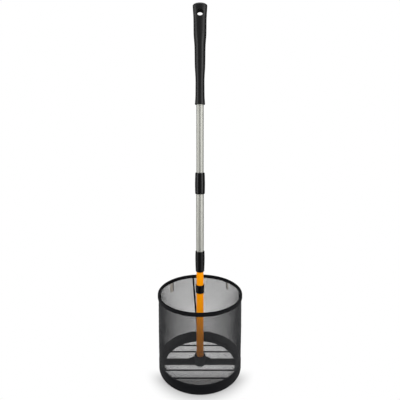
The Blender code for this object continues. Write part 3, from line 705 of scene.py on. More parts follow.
@dataclass
class Tree:
    """A Geometry Nodes tree with named inputs, one of them the material, run once on a mesh.

    Attributes:
        name: Name of the tree.
        sizes: Names of its inputs that are lengths or turns.
        counts: Names of its inputs that are whole numbers.
        group: The node tree.
        given: The sockets that bring the named inputs, by name.
    """

    name: str
    sizes: tuple[str, ...]
    counts: tuple[str, ...] = ()
    group: NodeTree = field(init=False)
    given: Any = field(init=False)

    def __post_init__(self) -> None:
        """Make the empty tree with its interface."""
        self.group = bpy.data.node_groups.new(self.name, "GeometryNodeTree")
        face = self.group.interface
        for way in ("INPUT", "OUTPUT"):
            face.new_socket("Geometry", in_out=way, socket_type="NodeSocketGeometry")
        for kind, names in (("Float", self.sizes), ("Int", self.counts), ("Material", ("Material",))):
            for name in names:
                face.new_socket(name, in_out="INPUT", socket_type=f"NodeSocket{kind}")
        self.given = self.group.nodes.new("NodeGroupInput").outputs

    def add(self, kind: str, inputs: Optional[dict[Any, Any]] = None, **settings: Any) -> Node:
        """Add a node to the tree, as add_node does."""
        return add_node(self.group, kind, inputs, **settings)

    def close(self, result: Node) -> None:
        """Realize the geometry, give it its material and end the tree.

        Args:
            result: The node that makes the geometry.
        """
        real = self.add("GeometryNodeRealizeInstances", {"Geometry": result})
        painted = self.add("GeometryNodeSetMaterial", {"Geometry": real, "Material": self.given["Material"]})
        self.add("NodeGroupOutput", {"Geometry": painted})

    def run(self, name: str, start: Mesh, finish: Finish, values: dict[str, Any]) -> Mesh:
        """Run the tree on a mesh.

        Args:
            name: Name of the new mesh.
            start: The mesh that the tree starts from.
            finish: The finish of the result.
            values: A value for each named input.

        Returns:
            The result as a plain mesh.
        """
        values = {**values, "Material": finish.material()}
        carrier = placed(f"{name}_carrier", start)
        modifier = carrier.modifiers.new(self.name, "NODES")
        modifier.node_group = self.group
        for item in self.group.interface.items_tree:
            if item.in_out == "INPUT" and item.name in values:
                modifier[item.identifier] = values[item.name]
        depsgraph = bpy.context.evaluated_depsgraph_get()
        mesh = bpy.data.meshes.new_from_object(carrier.evaluated_get(depsgraph), depsgraph=depsgraph)
        mesh.name = name
        carrier.modifiers.remove(modifier)
        bpy.data.objects.remove(carrier, do_unlink=True)
        mesh.shade_smooth()
        return mesh


def net_tree(yarn_steps: int = 48, yarn_sides: int = 4) -> Tree:
    """Return the tree that makes a cylinder of crossing yarns.

    Args:
        yarn_steps: Steps in one turn of a yarn.
        yarn_sides: Sides of a yarn.

    Returns:
        The tree; each yarn climbs the wall at a slant, and both slants cross.
    """
    tree = Tree("crossing_yarns", ("Radius", "Foot", "Height", "Turn", "Yarn Radius", "Bulge", "Bulge Size"),
                ("Count",))
    given = tree.given
    step = tree.add("ShaderNodeMath", {0: math.tau, 1: given["Count"]}, operation="DIVIDE")
    index = tree.add("GeometryNodeInputIndex")
    angle = tree.add("ShaderNodeMath", {0: index, 1: step}, operation="MULTIPLY")
    euler = tree.add("ShaderNodeCombineXYZ", {"Z": angle})
    turned = tree.add("FunctionNodeEulerToRotation", {"Euler": euler})
    starts = tree.add("GeometryNodePoints", {"Count": given["Count"]})
    families = tree.add("GeometryNodeJoinGeometry")
    for reverse in (False, True):
        yarn = tree.add("GeometryNodeCurveSpiral",
                        {"Resolution": yarn_steps, "Reverse": reverse, "Rotations": given["Turn"],
                         "Start Radius": given["Radius"], "End Radius": given["Radius"],
                         "Height": given["Height"]})
        round_wall = tree.add("GeometryNodeInstanceOnPoints",
                              {"Points": starts, "Instance": yarn, "Rotation": turned})
        feed(tree.group, families, {"Geometry": round_wall})
    curves = tree.add("GeometryNodeRealizeInstances", {"Geometry": families})

    place = tree.add("GeometryNodeInputPosition")
    parts = tree.add("ShaderNodeSeparateXYZ", {"Vector": place}).outputs
    level = tree.add("ShaderNodeMath", {0: parts["Z"], 1: given["Height"]}, operation="DIVIDE")
    half_turn = tree.add("ShaderNodeMath", {0: level, 1: math.pi}, operation="MULTIPLY")
    middle = tree.add("ShaderNodeMath", {0: half_turn}, operation="SINE")
    fine = tree.add("ShaderNodeMath", {0: 1.0, 1: given["Bulge Size"]}, operation="DIVIDE")
    waves = tree.add("ShaderNodeTexNoise", {"Vector": place, "Scale": fine, "Detail": 1.0})
    swell = tree.add("ShaderNodeMath", {0: waves, 1: middle}, operation="MULTIPLY")
    amount = tree.add("ShaderNodeMath", {0: swell, 1: given["Bulge"]}, operation="MULTIPLY")
    flat = tree.add("ShaderNodeCombineXYZ", {"X": parts["X"], "Y": parts["Y"]})
    outward = tree.add("ShaderNodeVectorMath", {0: flat}, operation="NORMALIZE")
    offset = tree.add("ShaderNodeVectorMath", {0: outward, "Scale": amount}, operation="SCALE")
    shaped = tree.add("GeometryNodeSetPosition", {"Geometry": curves, "Offset": offset})
    section = tree.add("GeometryNodeCurvePrimitiveCircle",
                       {"Resolution": yarn_sides, "Radius": given["Yarn Radius"]})
    wall = tree.add("GeometryNodeCurveToMesh", {"Curve": shaped, "Profile Curve": section, "Fill Caps": True})
    lift = tree.add("ShaderNodeCombineXYZ", {"Z": given["Foot"]})
    tree.close(tree.add("GeometryNodeTransform", {"Geometry": wall, "Translation": lift}))
    return tree


def stitch_tree(spindle_sides: int = 6, spindle_rings: int = 4) -> Tree:
    """Return the tree that sews a row of stitches along each line of a wire mesh.

    Args:
        spindle_sides: Sides of a stitch.
        spindle_rings: Rings of faces along a stitch.

    Returns:
        The tree; each stitch is a slim spindle half sunk in the cloth.
    """
    tree = Tree("stitch_rows", ("Pitch", "Stitch", "Thread Radius"))
    given = tree.given
    lines = tree.add("GeometryNodeMeshToCurve", {"Mesh": given["Geometry"]})
    spaced = tree.add("GeometryNodeResampleCurve", {"Curve": lines, "Length": given["Pitch"]}, mode="LENGTH")
    tangent = tree.add("GeometryNodeInputTangent")
    aim = tree.add("FunctionNodeAlignRotationToVector", {"Vector": tangent}, axis="Z")
    half = tree.add("ShaderNodeMath", {0: given["Stitch"], 1: 0.5}, operation="MULTIPLY")
    size = tree.add("ShaderNodeCombineXYZ",
                    {"X": given["Thread Radius"], "Y": given["Thread Radius"], "Z": half})
    spindle = tree.add("GeometryNodeMeshUVSphere",
                       {"Segments": spindle_sides, "Rings": spindle_rings, "Radius": 1.0})
    tree.close(tree.add("GeometryNodeInstanceOnPoints",
                        {"Points": spaced, "Instance": spindle, "Rotation": aim, "Scale": size}))
    return tree


# Sub-assemblies


@dataclass
class Strip:
    """A tape that follows the inside of the net, read from its CAD node.

    Attributes:
        node: The CAD node that it stands for.
        corner: Radius of the corners at its foot.
        rows: Steps along the tape.
        columns: Steps across it.
        corner_angles: Angles in degrees of the rows in the corners.
        line_steps: Steps of a line up the tape.
    """

    node: str
    corner: float = 0.0
    rows: int = 24
    columns: int = 6
    corner_angles: tuple[float, ...] = (0, 20, 40, 60, 90)
    line_steps: int = 40

    def __post_init__(self) -> None:
        """Read the tape's ends from the frame."""
        places = corners_of(self.node)
        radii = np.hypot(places[:, 0], places[:, 1])
        angles = np.arctan2(-places[:, 0], places[:, 1])
        self.foot, self.top = float(places[:, 2].min()), float(places[:, 2].max())
        self.height = self.top - self.foot
        self.inner, self.outer = float(radii.min()), float(radii.max())
        at_foot = angles[places[:, 2] < self.foot + WELD]
        at_top = angles[places[:, 2] > self.top - WELD]
        self.foot_range = (float(at_foot.min()), float(at_foot.max()))
        self.top_range = (float(at_top.min()), float(at_top.max()))

    def point(self, radius: float, share: float, across: float, inset: float) -> Vector:
        """Return a point of the tape.

        Args:
            radius: Its distance from the pole.
            share: Its share of the height.
            across: Its share of the width.
            inset: How far both edges are drawn in there.

        Returns:
            The point.
        """
        low, high = (foot + (top - foot) * share for foot, top in zip(self.foot_range, self.top_range))
        turn = inset / self.outer
        return on_wall(radius, low + turn + (high - low - 2 * turn) * across, self.foot + share * self.height)

    def shares(self) -> list[float]:
        """Work out where rows lie, close together at the rounded foot.

        Returns:
            Shares of the height.
        """
        if not self.corner:
            return evenly(0.0, 1.0, self.rows)
        rounded = [self.corner * (1 - math.cos(math.radians(a))) / self.height for a in self.corner_angles]
        return rounded[:-1] + evenly(rounded[-1], 1.0, self.rows)

    def mesh(self) -> Mesh:
        """Make the tape as a thin closed band.

        Returns:
            The mesh, with its UV map in metres.
        """
        width = (self.top_range[1] - self.top_range[0]) * self.outer
        steps = evenly(0.0, 1.0, self.columns)
        shares = self.shares()
        rows = []
        for share in shares:
            rise = min(share * self.height, self.corner)
            inset = self.corner - math.sqrt(max(self.corner ** 2 - (self.corner - rise) ** 2, 0.0))
            rows.append([self.point(self.inner, share, step, inset) for step in steps]
                        + [self.point(self.outer, share, step, inset) for step in reversed(steps)])
        across = [width * step for step in steps]
        across += [width * (1 + j / self.columns) for j in range(self.columns + 2)]
        along = [share * self.height for share in shares]
        return grid_mesh(f"{self.node}_cloth", rows, across, along, closes=False)

    def edge_line(self, across: float, inset: float, margin: float = 0.0) -> list[Vector]:
        """Return a line up the tape's inner face.

        Args:
            across: 0 for one edge, 1 for the other.
            inset: Distance from the edges; past them where it is negative.
            margin: Distance from the foot.

        Returns:
            The line's points.
        """
        return [self.point(self.inner, share, across, inset)
                for share in evenly(margin / self.height, 1.0, self.line_steps)]


@dataclass(frozen=True)
class Seam:
    """A kind of stitching.

    Attributes:
        thread: The thread's finish.
        radius: Radius of the thread.
        pitch: Distance from stitch to stitch; less than a stitch where they overlap.
        stitch: Length of a stitch.
    """

    thread: Finish = SEWING_THREAD
    radius: float = 0.22 * MM
    pitch: float = 3.2 * MM
    stitch: float = 2.3 * MM


@dataclass
class NetBasket:
    """The sewn cloth of the basket: net, bands, tapes, tabs and stay channels.

    Attributes:
        yarn_pitch: Distance between neighbouring yarns of one slant.
        yarn_radius: Radius of a yarn.
        yarn_slant: Angle of the yarns above the horizontal, in radians.
        bulge: How far the net may stand out between its edges.
        bulge_size: Width of one wave of the net.
        tape_sides: Steps round the basket for the tapes.
        tape_thickness: Thickness of the binding tape.
        rim_steps: Steps over the binding's fold.
        edge_steps: Steps round an edge of the band.
        seam: Stitching of the black tapes.
        tab_shade_seam: Thick near-black stitching on the edge of each tab towards the middle, a painted shade
            of that side.
        tab_corner: Radius of a tab's corners.
        hem: Distance of a stitch row from a tape's edge.
        pucker: Depth of the folds between the stitches of a channel.
        fold_steps: Steps in one fold.
        channel_sides: Steps round a channel.
        extras: What is sewn to the net.
    """

    yarn_pitch: float = 1.6 * MM
    yarn_radius: float = 0.29 * MM
    yarn_slant: float = math.radians(45)
    bulge: float = 1.6 * MM
    bulge_size: float = 45.0 * MM
    tape_sides: int = 180
    tape_thickness: float = 0.6 * MM
    rim_steps: int = 14
    edge_steps: int = 6
    seam: Seam = Seam()
    tab_shade_seam: Seam = Seam(TAB_SHADE_THREAD, radius=0.8 * MM, pitch=1.2 * MM)
    tab_corner: float = 2.0 * MM
    hem: float = 1.5 * MM
    pucker: float = 0.18 * MM
    fold_steps: int = 4
    channel_sides: int = 20
    extras: list[Object] = field(default_factory=list)

    def build(self) -> None:
        self.build_binding()
        self.build_band()
        self.build_inner_tapes()
        self.build_channels()
        net, flat = self.build_net()

    def build_net(self) -> tuple[Object, Point]:
        """Build the net from yarns.

        Returns:
            The net and its flat size.
        """
        low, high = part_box("mesh_wall")
        middle = high.x - self.yarn_radius
        height = high.z - low.z
        across = math.tau * middle
        climb = height / math.tan(self.yarn_slant)
        count = round(across * math.sin(self.yarn_slant) / self.yarn_pitch)
        mesh = net_tree().run("net_wall", bpy.data.meshes.new("net_start"), NET_YARN, {
            "Radius": middle, "Foot": low.z, "Height": height, "Turn": climb / across, "Count": count,
            "Yarn Radius": self.yarn_radius, "Bulge": self.bulge, "Bulge Size": self.bulge_size,
        })
        net = dressed("net_wall", mesh, NET_YARN, Body.BASKET, "mesh_wall")
        return net, (across, height)

    def add(self, name: str, mesh: Mesh, finish: Finish, *stands_for: str) -> None:
        """Add a piece that is sewn to the net."""
        self.extras.append(dressed(name, mesh, finish, Body.BASKET, *stands_for))

    def sew(self, name: str, lines: list[Sequence[Vector]], seam: Seam) -> None:
        """Sew rows of stitches along lines.

        Args:
            name: Name of the piece that they make.
            lines: The lines, as points.
            seam: The kind of stitching.
        """
        mesh = stitch_tree().run(name, wire_mesh(f"{name}_lines", lines), seam.thread, {
            "Pitch": seam.pitch, "Stitch": seam.stitch, "Thread Radius": seam.radius})
        self.add(name, mesh, seam.thread)

    def ring_line(self, radius: float, height: float) -> list[Vector]:
        """Return a level circle as a line."""
        return [on_wall(radius, turn, height) for turn in evenly(0.0, math.tau, self.tape_sides)]

    def build_binding(self) -> None:
        """Build the folded binding of the rim and its two rows of stitches."""
        low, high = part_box("rim_binding")
        outer, inner, thickness = high.x, inner_radius("rim_binding"), self.tape_thickness
        half = (outer - inner) / 2
        crown = (outer - half, high.z - half)
        outline = [(outer, low.z), *arc(crown, half, 0, 180, self.rim_steps), (inner, low.z),
                   (inner + thickness, low.z), *arc(crown, half - thickness, 180, 0, self.rim_steps),
                   (outer - thickness, low.z)]
        mesh = revolved("rim_binding_cloth", outline, self.tape_sides)
        self.add("binding_tape", mesh, BLACK_TAPE, "rim_binding")
        rows = [self.ring_line(radius, low.z + self.hem) for radius in (outer, inner)]
        self.sew("binding_stitches", rows, self.seam)

    def build_band(self) -> None:
        """Build the band round the foot of the net, stitched along both edges."""
        low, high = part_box("bottom_band")
        outer = high.x
        edge = (outer - inner_radius("bottom_band")) / 2
        middle = outer - edge
        outline = (arc((middle, high.z - edge), edge, 0, 180, self.edge_steps)
                   + arc((middle, low.z + edge), edge, 180, 360, self.edge_steps))
        mesh = revolved("bottom_band_cloth", outline, self.tape_sides)
        self.add("foot_band", mesh, BLACK_TAPE, "bottom_band")
        rows = [self.ring_line(outer, height) for height in (low.z + self.hem, high.z - self.hem)]
        self.sew("band_stitches", rows, self.seam)

    def build_inner_tapes(self) -> None:
        """Build the seam tape and the two tabs, with thick dark stitches along each tab's edge towards the
        middle as painted shade.
        """
        cover = Strip("seam_tape", rows=60)
        self.add("seam_cover", cover.mesh(), BLACK_TAPE, cover.node)
        self.sew("seam_stitches", [cover.edge_line(edge, self.hem / 2) for edge in (0, 1)], self.seam)
        lines = []
        for edge, side in enumerate(("left", "right")):
            tab = Strip(f"rim_tab_{side}", corner=self.tab_corner)
            self.add(f"{side}_tab", tab.mesh(), GREY_TAPE, tab.node)
            # Two rows of the thick dark thread at the edge towards the middle, one of them past it: painted
            # shade of the tab's shaded side
            thread = self.tab_shade_seam.radius
            lines += [tab.edge_line(edge, inset, thread) for inset in (-thread, thread)]
        self.sew("tab_edge_shade_stitches", lines, self.tab_shade_seam)

    def build_channels(self) -> None:
        """Build the gathered channels round the side stays."""
        for side in ("left", "right"):
            node = f"stay_channel_{side}"
            low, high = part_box(node)
            stay_low, stay_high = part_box(f"side_stay_{side}")
            outer = (high.x - low.x) / 2
            inner = (stay_high.x - stay_low.x) / 2 + self.pucker
            steps = round((high.z - low.z) / self.seam.pitch) * self.fold_steps
            wall = [(outer - self.pucker * (0.5 - 0.5 * math.cos(math.tau * i / self.fold_steps)), height)
                    for i, height in enumerate(evenly(low.z, high.z, steps))]
            mesh = revolved(f"{node}_cloth", wall + [(inner, high.z), (inner, low.z)], self.channel_sides)
            mesh.transform(Matrix.Translation(((low.x + high.x) / 2, 0.0, 0.0)))
            self.add(f"{side}_stay_sleeve", mesh, BLACK_TAPE, node)


@dataclass
class CordGate:
    """The elastic cords across the open base, braided and knotted.

    Attributes:
        sides: Steps round a cord.
        step: Distance between rings along a cord.
        wraps: Turns of cord that a knot shows.
        wrap_depth: Depth of the furrows between them.
        knot_steps: Steps over a knot.
        knot_end: Angle in degrees from a knot's end to its first ring.
    """

    sides: int = 16
    step: float = 2.0 * MM
    wraps: float = 2.5
    wrap_depth: float = 0.35 * MM
    knot_steps: int = 12
    knot_end: float = 8.0

    def build(self) -> None:
        """Build each cord along its CAD node."""
        for node in sorted(name for name in FRAME["nodes"] if name.startswith("elastic_cord_")):
            dressed(f"{node}_braid", self.cord_mesh(node), BRAID, Body.BASKET, node)

    def cord_mesh(self, node: str) -> Mesh:
        """Return a cord with a knot at each end.

        Args:
            node: The CAD node that gives the cord's place, length and radii.

        Returns:
            The mesh, with its UV map in metres.
        """
        low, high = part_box(node)
        places = corners_of(node)
        centre_y, centre_z = (low.y + high.y) / 2, (low.z + high.z) / 2
        radii = np.hypot(places[:, 1] - centre_y, places[:, 2] - centre_z)
        knot = float(radii.max())
        middle = np.abs(places[:, 0]) < high.x - 2 * knot
        cord = float(radii[middle].max()) if middle.any() else float(np.median(radii))
        turns = evenly(0.0, math.tau, self.sides)
        stations = self.stations(high.x, knot, cord)
        rows = []
        for x, radius in stations:
            depth = self.wrap_depth * min(1.0, max(0.0, (radius - cord) / (knot - cord)))
            row = []
            for turn in turns[:-1]:
                wrap = math.cos(turn - math.tau * self.wraps * x / (2 * knot))
                r = radius - depth * (0.5 - 0.5 * wrap)
                row.append(Vector((x, centre_y + r * math.cos(turn), centre_z + r * math.sin(turn))))
            rows.append(row)
        return grid_mesh(f"{node}_cover", rows, [turn * cord for turn in turns], [x for x, _ in stations],
                         closes=False)

    def stations(self, reach: float, knot: float, cord: float) -> list[Point]:
        """Work out a cord's rings, from one knot's end to the other's.

        Args:
            reach: Half the cord's length with its knots.
            knot: Radius of a knot.
            cord: Radius of the cord.

        Returns:
            Each ring's place along the cord and its radius.
        """
        centre = reach - knot
        neck = 180 - math.degrees(math.asin(cord / knot))
        right = arc((centre, 0.0), knot, self.knot_end, neck, self.knot_steps)
        half = centre - math.sqrt(knot ** 2 - cord ** 2)
        count = max(2, round(2 * half / self.step))
        plain = [(x, cord) for x in evenly(half, -half, count)[1:-1]]
        return right + plain + [(-x, r) for x, r in reversed(right)]


@dataclass
class HandleGrip:
    """The moulded rubber grip with its blind bore and its hanging hole.

    Rows of points run from the end of the bore round the foot and up to the crown. Round the hole a patch of
    them is left out at front and back, and rings of points lead from there over a rounded lip into the hole.
    Heights are from the grip's foot.

    Attributes:
        node: The CAD node that it stands for.
        columns: Steps round the grip, a multiple of 8.
        row_step: Distance between rows.
        bore: Radius of the bore.
        bore_depth: Its depth.
        walls: Height and wall over the bore.
        depths: Height and depth as a share of the width.
        foot_round: Radius of the foot's outer edge.
        foot_steps: Steps round it.
        shoulder_rise: Height of the rounded shoulder.
        shoulder_inset: How far it draws in.
        crown_rise: Height of the crown over the shoulder.
        round_steps: Steps in each rounding over the shoulder and at the hole.
        hole_height: Height of the hole's middle.
        hole_radius: Its radius.
        hole_lip: Radius of the rounding at its mouths.
        patch_reach: Half height of the patch round the hole.
        patch_rings: Rings of points in the patch.
    """

    node: str = "handle_grip"
    columns: int = 72
    row_step: float = 2.4 * MM
    bore: float = 10.0 * MM
    bore_depth: float = 210.4 * MM
    walls: tuple[Point, ...] = (
        (2.2 * MM, 3.3 * MM), (23.0 * MM, 1.9 * MM), (62.0 * MM, 1.65 * MM), (101.0 * MM, 3.6 * MM),
        (145.0 * MM, 4.2 * MM), (181.0 * MM, 6.5 * MM), (210.0 * MM, 6.7 * MM), (244.6 * MM, 8.6 * MM))
    depths: tuple[Point, ...] = (
        (0.0 * MM, 1.0), (145.0 * MM, 1.0), (181.0 * MM, 0.82), (210.0 * MM, 0.72), (244.6 * MM, 0.61))
    foot_round: float = 1.6 * MM
    foot_steps: int = 4
    shoulder_rise: float = 4.6 * MM
    shoulder_inset: float = 4.2 * MM
    crown_rise: float = 2.4 * MM
    round_steps: int = 8
    hole_height: float = 226.2 * MM
    hole_radius: float = 8.0 * MM
    hole_lip: float = 1.4 * MM
    patch_reach: float = 11.6 * MM
    patch_rings: int = 3

    def build(self) -> None:
        """Build the grip and give it its finish."""
        dressed("handle_grip_part", self.mesh(), GRIP_RUBBER, Body.UPPER_POLE, self.node)

    def half_width(self, height: float) -> float:
        """Return half the width at a height."""
        return self.bore + smooth_value(self.walls, height)

    def half_depth(self, height: float) -> float:
        """Return half the depth at a height."""
        return self.half_width(height) * smooth_value(self.depths, height)

    def sections(self) -> list[tuple[float, float, float]]:
        """Work out the rows, the first and the last of which are on the axis.

        Returns:
            Each row's height, half width and half depth.
        """
        first, last = self.walls[0][0], self.walls[-1][0]
        foot_half = self.half_width(first) - self.foot_round
        foot = arc((foot_half, self.foot_round), self.foot_round, -90, 0, self.foot_steps)
        sections = [(self.bore_depth, 0.0, 0.0), (self.bore_depth, self.bore, self.bore),
                    (0.0, self.bore, self.bore)] + [(z, r, r) for r, z in foot]
        for height in evenly(first, last, round((last - first) / self.row_step)):
            sections.append((height, self.half_width(height), self.half_depth(height)))
        top_half, share = self.half_width(last), smooth_value(self.depths, last)
        quarter = evenly(0.0, math.pi / 2, self.round_steps)[1:]
        for turn in quarter:
            half = top_half - self.shoulder_inset * (1 - math.cos(turn))
            sections.append((last + self.shoulder_rise * math.sin(turn), half, half * share))
        crown_foot = last + self.shoulder_rise
        for turn in quarter[:-1]:
            half = (top_half - self.shoulder_inset) * math.cos(turn)
            sections.append((crown_foot + self.crown_rise * math.sin(turn), half, half * share))
        sections.append((crown_foot + self.crown_rise, 0.0, 0.0))
        return sections

    def mesh(self) -> Mesh:
        """Make the grip.

        Returns:
            The mesh, closed round the bore and the hole.
        """
        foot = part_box(self.node)[0].z
        sections = self.sections()
        bm = bmesh.new()
        turns = evenly(0.0, math.tau, self.columns)[:-1]
        rows = [[bm.verts.new((width * math.cos(turn), depth * math.sin(turn), foot + height))
                 for turn in turns] for height, width, depth in sections]
        outside = [i for i, (_, width, _) in enumerate(sections) if width > self.bore]
        low = max(i for i in outside if sections[i][0] <= self.hole_height - self.patch_reach)
        high = min(i for i in outside if sections[i][0] >= self.hole_height + self.patch_reach)
        eighth = self.columns // 8
        back, front = range(eighth, 3 * eighth), range(5 * eighth, 7 * eighth)
        for i in range(len(rows) - 1):
            for j in range(self.columns):
                if low <= i < high and (j in back or j in front):
                    continue
                k = (j + 1) % self.columns
                bm.faces.new((rows[i][j], rows[i][k], rows[i + 1][k], rows[i + 1][j]))
        mouths = []
        patches = ((1, range(3 * eighth, eighth - 1, -1)), (-1, range(5 * eighth, 7 * eighth + 1)))
        for side, columns in patches:
            left, right = columns[0], columns[-1]
            border = ([rows[low][j] for j in columns] + [rows[i][right] for i in range(low + 1, high)]
                      + [rows[high][j] for j in reversed(columns)]
                      + [rows[i][left] for i in range(high - 1, low, -1)])
            mouths.append(self.mouth(bm, border, side, foot))
        self.join(bm, mouths[0], mouths[1])
        bmesh.ops.delete(bm, geom=[vert for vert in bm.verts if not vert.link_faces], context="VERTS")
        bmesh.ops.remove_doubles(bm, verts=bm.verts, dist=POLE_WELD)
        bmesh.ops.recalc_face_normals(bm, faces=bm.faces)
        return to_mesh(f"{self.node}_loft", bm)

    def mouth(self, bm: BMesh, border: list[BMVert], side: int, foot: float) -> list[BMVert]:
        """Lead a patch's border over the lip into the hole.

        Args:
            bm: The grip so far.
            border: The patch's border, once round.
            side: 1 at the back, -1 at the front.
            foot: Height of the grip's foot above the ground.

        Returns:
            The last ring, just inside the hole.
        """
        middle = foot + self.hole_height
        wide, inner = self.hole_radius + self.hole_lip, self.hole_radius

        def skin(x: float, rise: float) -> Vector:
            """Find the point of the grip's skin at a place beside the hole's middle.

            Args:
                x: How far it is to the right.
                rise: How far it is above.

            Returns:
                The point.
            """
            height = self.hole_height + rise
            share = min(abs(x) / self.half_width(height), 1.0)
            return Vector((x, side * self.half_depth(height) * math.sqrt(1 - share ** 2), foot + height))

        turns = [math.atan2(vert.co.z - middle, vert.co.x) for vert in border]
        rings = []
        for share in evenly(0.0, 1.0, self.patch_rings)[1:]:
            rings.append([skin(vert.co.x * (1 - share) + wide * math.cos(turn) * share,
                               (vert.co.z - middle) * (1 - share) + wide * math.sin(turn) * share)
                          for vert, turn in zip(border, turns)])
        starts = rings[-1]
        corners = [skin(inner * math.cos(turn), inner * math.sin(turn)) for turn in turns]
        lip = Vector((0.0, side * self.hole_lip, 0.0))
        for t in evenly(0.0, 1.0, self.round_steps)[1:]:
            rings.append([bend(start, corner, corner - lip, t) for start, corner in zip(starts, corners)])
        before = border
        for ring in rings:
            verts = [bm.verts.new(point) for point in ring]
            self.join(bm, before, verts)
            before = verts
        return before

    def join(self, bm: BMesh, ring: list[BMVert], other: list[BMVert]) -> None:
        """Join two rings of points with faces."""
        for i, vert in enumerate(ring):
            bm.faces.new((ring[i - 1], vert, other[i], other[i - 1]))


@dataclass
class RigidParts:
    """Parts that keep the frame's own shape.

    Attributes:
        sides: Steps round a turned part, finer than the frame's.
        turned: Node, finish, body and edge rounding of each part turned about the pole.
        shaped: Node, finish and body of each other part.
    """

    sides: int = 96
    turned: tuple[tuple[str, Finish, Body, float], ...] = (
        ("centre_post", ORANGE_TUBE, Body.BASKET, 0.3 * MM),
        ("post_plug", FITTING_PLASTIC, Body.BASKET, 0.4 * MM),
        ("post_spigot", FITTING_PLASTIC, Body.BASKET, 0.3 * MM),
        ("hub_washer", ZINC_STEEL, Body.BASKET, 0.2 * MM),
        ("union_nut", FITTING_PLASTIC, Body.UNION, 0.6 * MM),
        ("lower_tube", ORANGE_TUBE, Body.LOWER_POLE, 0.3 * MM),
        ("tube_bush", FITTING_PLASTIC, Body.LOWER_POLE, 0.3 * MM),
        ("lower_tube_plug", FITTING_PLASTIC, Body.LOWER_POLE, 0.4 * MM),
        ("middle_tube", STEEL_TUBE, Body.MIDDLE_POLE, 0.2 * MM),
        ("lower_lock_sleeve", SLEEVE_PLASTIC, Body.LOWER_LOCK, 0.8 * MM),
        ("upper_lock_sleeve", SLEEVE_PLASTIC, Body.UPPER_LOCK, 0.8 * MM),
        ("upper_tube", STEEL_TUBE, Body.UPPER_POLE, 0.2 * MM),
        ("upper_tube_plug", FITTING_PLASTIC, Body.UPPER_POLE, 0.4 * MM),
    )
    shaped: tuple[tuple[str, Finish, Body], ...] = (
        ("base_frame", FRAME_PLASTIC, Body.BASKET),
        ("hub_screw", ZINC_STEEL, Body.BASKET),
        ("rim_hoop", SPRING_WIRE, Body.BASKET),
        ("side_stay_left", SPRING_WIRE, Body.BASKET),
        ("side_stay_right", SPRING_WIRE, Body.BASKET),
        ("lower_lock_collet", COLLET_PLASTIC, Body.MIDDLE_POLE),
        ("upper_lock_collet", COLLET_PLASTIC, Body.MIDDLE_POLE),
    )

    def build(self) -> None:
        """Build each part and give it its finish."""
        for node, finish, body, edge in self.turned:
            outline, closes = outline_of(node)
            mesh = revolved(f"{node}_turned", eased(outline, edge, closes), self.sides, closes)
            dressed(f"{node}_part", mesh, finish, body, node)
        for node, finish, body in self.shaped:
            dressed(f"{node}_part", frame_copy(node), finish, body, node)


# Studio


def stage_material(name: str) -> Material:
    """Make an empty material for a thing of the studio, which is never sampled as a lamp.

    Args:
        name: Name of the material.

    Returns:
        The material, without nodes.
    """
    material = bpy.data.materials.new(name)
    material.use_nodes = True
    material.cycles.emission_sampling = "NONE"
    material.node_tree.nodes.clear()
    return material


def staged(name: str, mesh: Mesh, material: Material) -> Object:
    """Add a thing of the studio, which is no part of the object.

    Args:
        name: Name of the thing.
        mesh: Its mesh, in place.
        material: Its material.

    Returns:
        The new object.
    """
    mesh.materials.append(material)
    thing = placed(name, mesh)
    return thing


@dataclass(frozen=True)
class Lamp:
    """A soft box that faces the middle of the object.

    Attributes:
        name: Name of the lamp.
        angle: Direction from the object in degrees, 0 towards the camera and 90 to its right.
        distance: Distance from the pole.
        height: Height of its middle.
        size: Width and height.
        power: Power in watts.
        aim_height: Height of the point on the pole that it faces.
    """

    name: str
    angle: float
    distance: float
    height: float
    size: Point
    power: float
    aim_height: float = 0.45

    def build(self) -> None:
        """Make the lamp and aim it."""
        data = bpy.data.lights.new(self.name, "AREA")
        data.shape = "RECTANGLE"
        data.size, data.size_y = self.size
        data.energy = self.power
        lamp = placed(self.name, data)
        turn = math.radians(self.angle)
        lamp.location = (self.distance * math.sin(turn), -self.distance * math.cos(turn), self.height)
        aim = Vector((0.0, 0.0, self.aim_height)) - lamp.location
        lamp.rotation_euler = aim.to_track_quat("-Z", "Y").to_euler()


@dataclass(frozen=True)
class GreyCard:
    """A grey card that only gloss sees, as a studio puts beside bright metal and black plastic.

    Attributes:
        name: Name of the card.
        start: Direction of one edge in degrees, 0 towards the camera and 90 to its right.
        end: Direction of the other edge.
        shade: How bright the card looks, 1 being white.
        radius: Distance from the pole.
        height: Height of the card.
        foot: The card also lies on the floor, from this distance out to its radius; 0 for no such foot.
        lift: Height of the foot over the floor.
        steps: Steps along its curve.
    """

    name: str
    start: float
    end: float
    shade: float
    radius: float = 0.6
    height: float = 1.5
    foot: float = 0.0
    lift: float = 0.5 * MM
    steps: int = 24

    def build(self) -> None:
        """Make the curved card."""
        angles = [math.radians(angle) for angle in evenly(self.start, self.end, self.steps)]
        corners = [(self.radius, self.lift), (self.radius, self.height)]
        if self.foot:
            corners.insert(0, (self.foot, self.lift))
        bm = bmesh.new()
        edges = [[bm.verts.new((r * math.sin(a), -r * math.cos(a), z)) for a in angles] for r, z in corners]
        for near, far in zip(edges, edges[1:]):
            for i in range(self.steps):
                bm.faces.new((near[i], near[i + 1], far[i + 1], far[i]))
        mesh = bpy.data.meshes.new(self.name)
        bm.to_mesh(mesh)
        bm.free()
        material = stage_material(self.name)
        glow = add_node(material.node_tree, "ShaderNodeEmission", {"Strength": self.shade})
        add_node(material.node_tree, "ShaderNodeOutputMaterial", {"Surface": glow})
        card = staged(self.name, mesh, material)
        card.visible_camera = False
        card.visible_diffuse = False
        card.visible_shadow = False


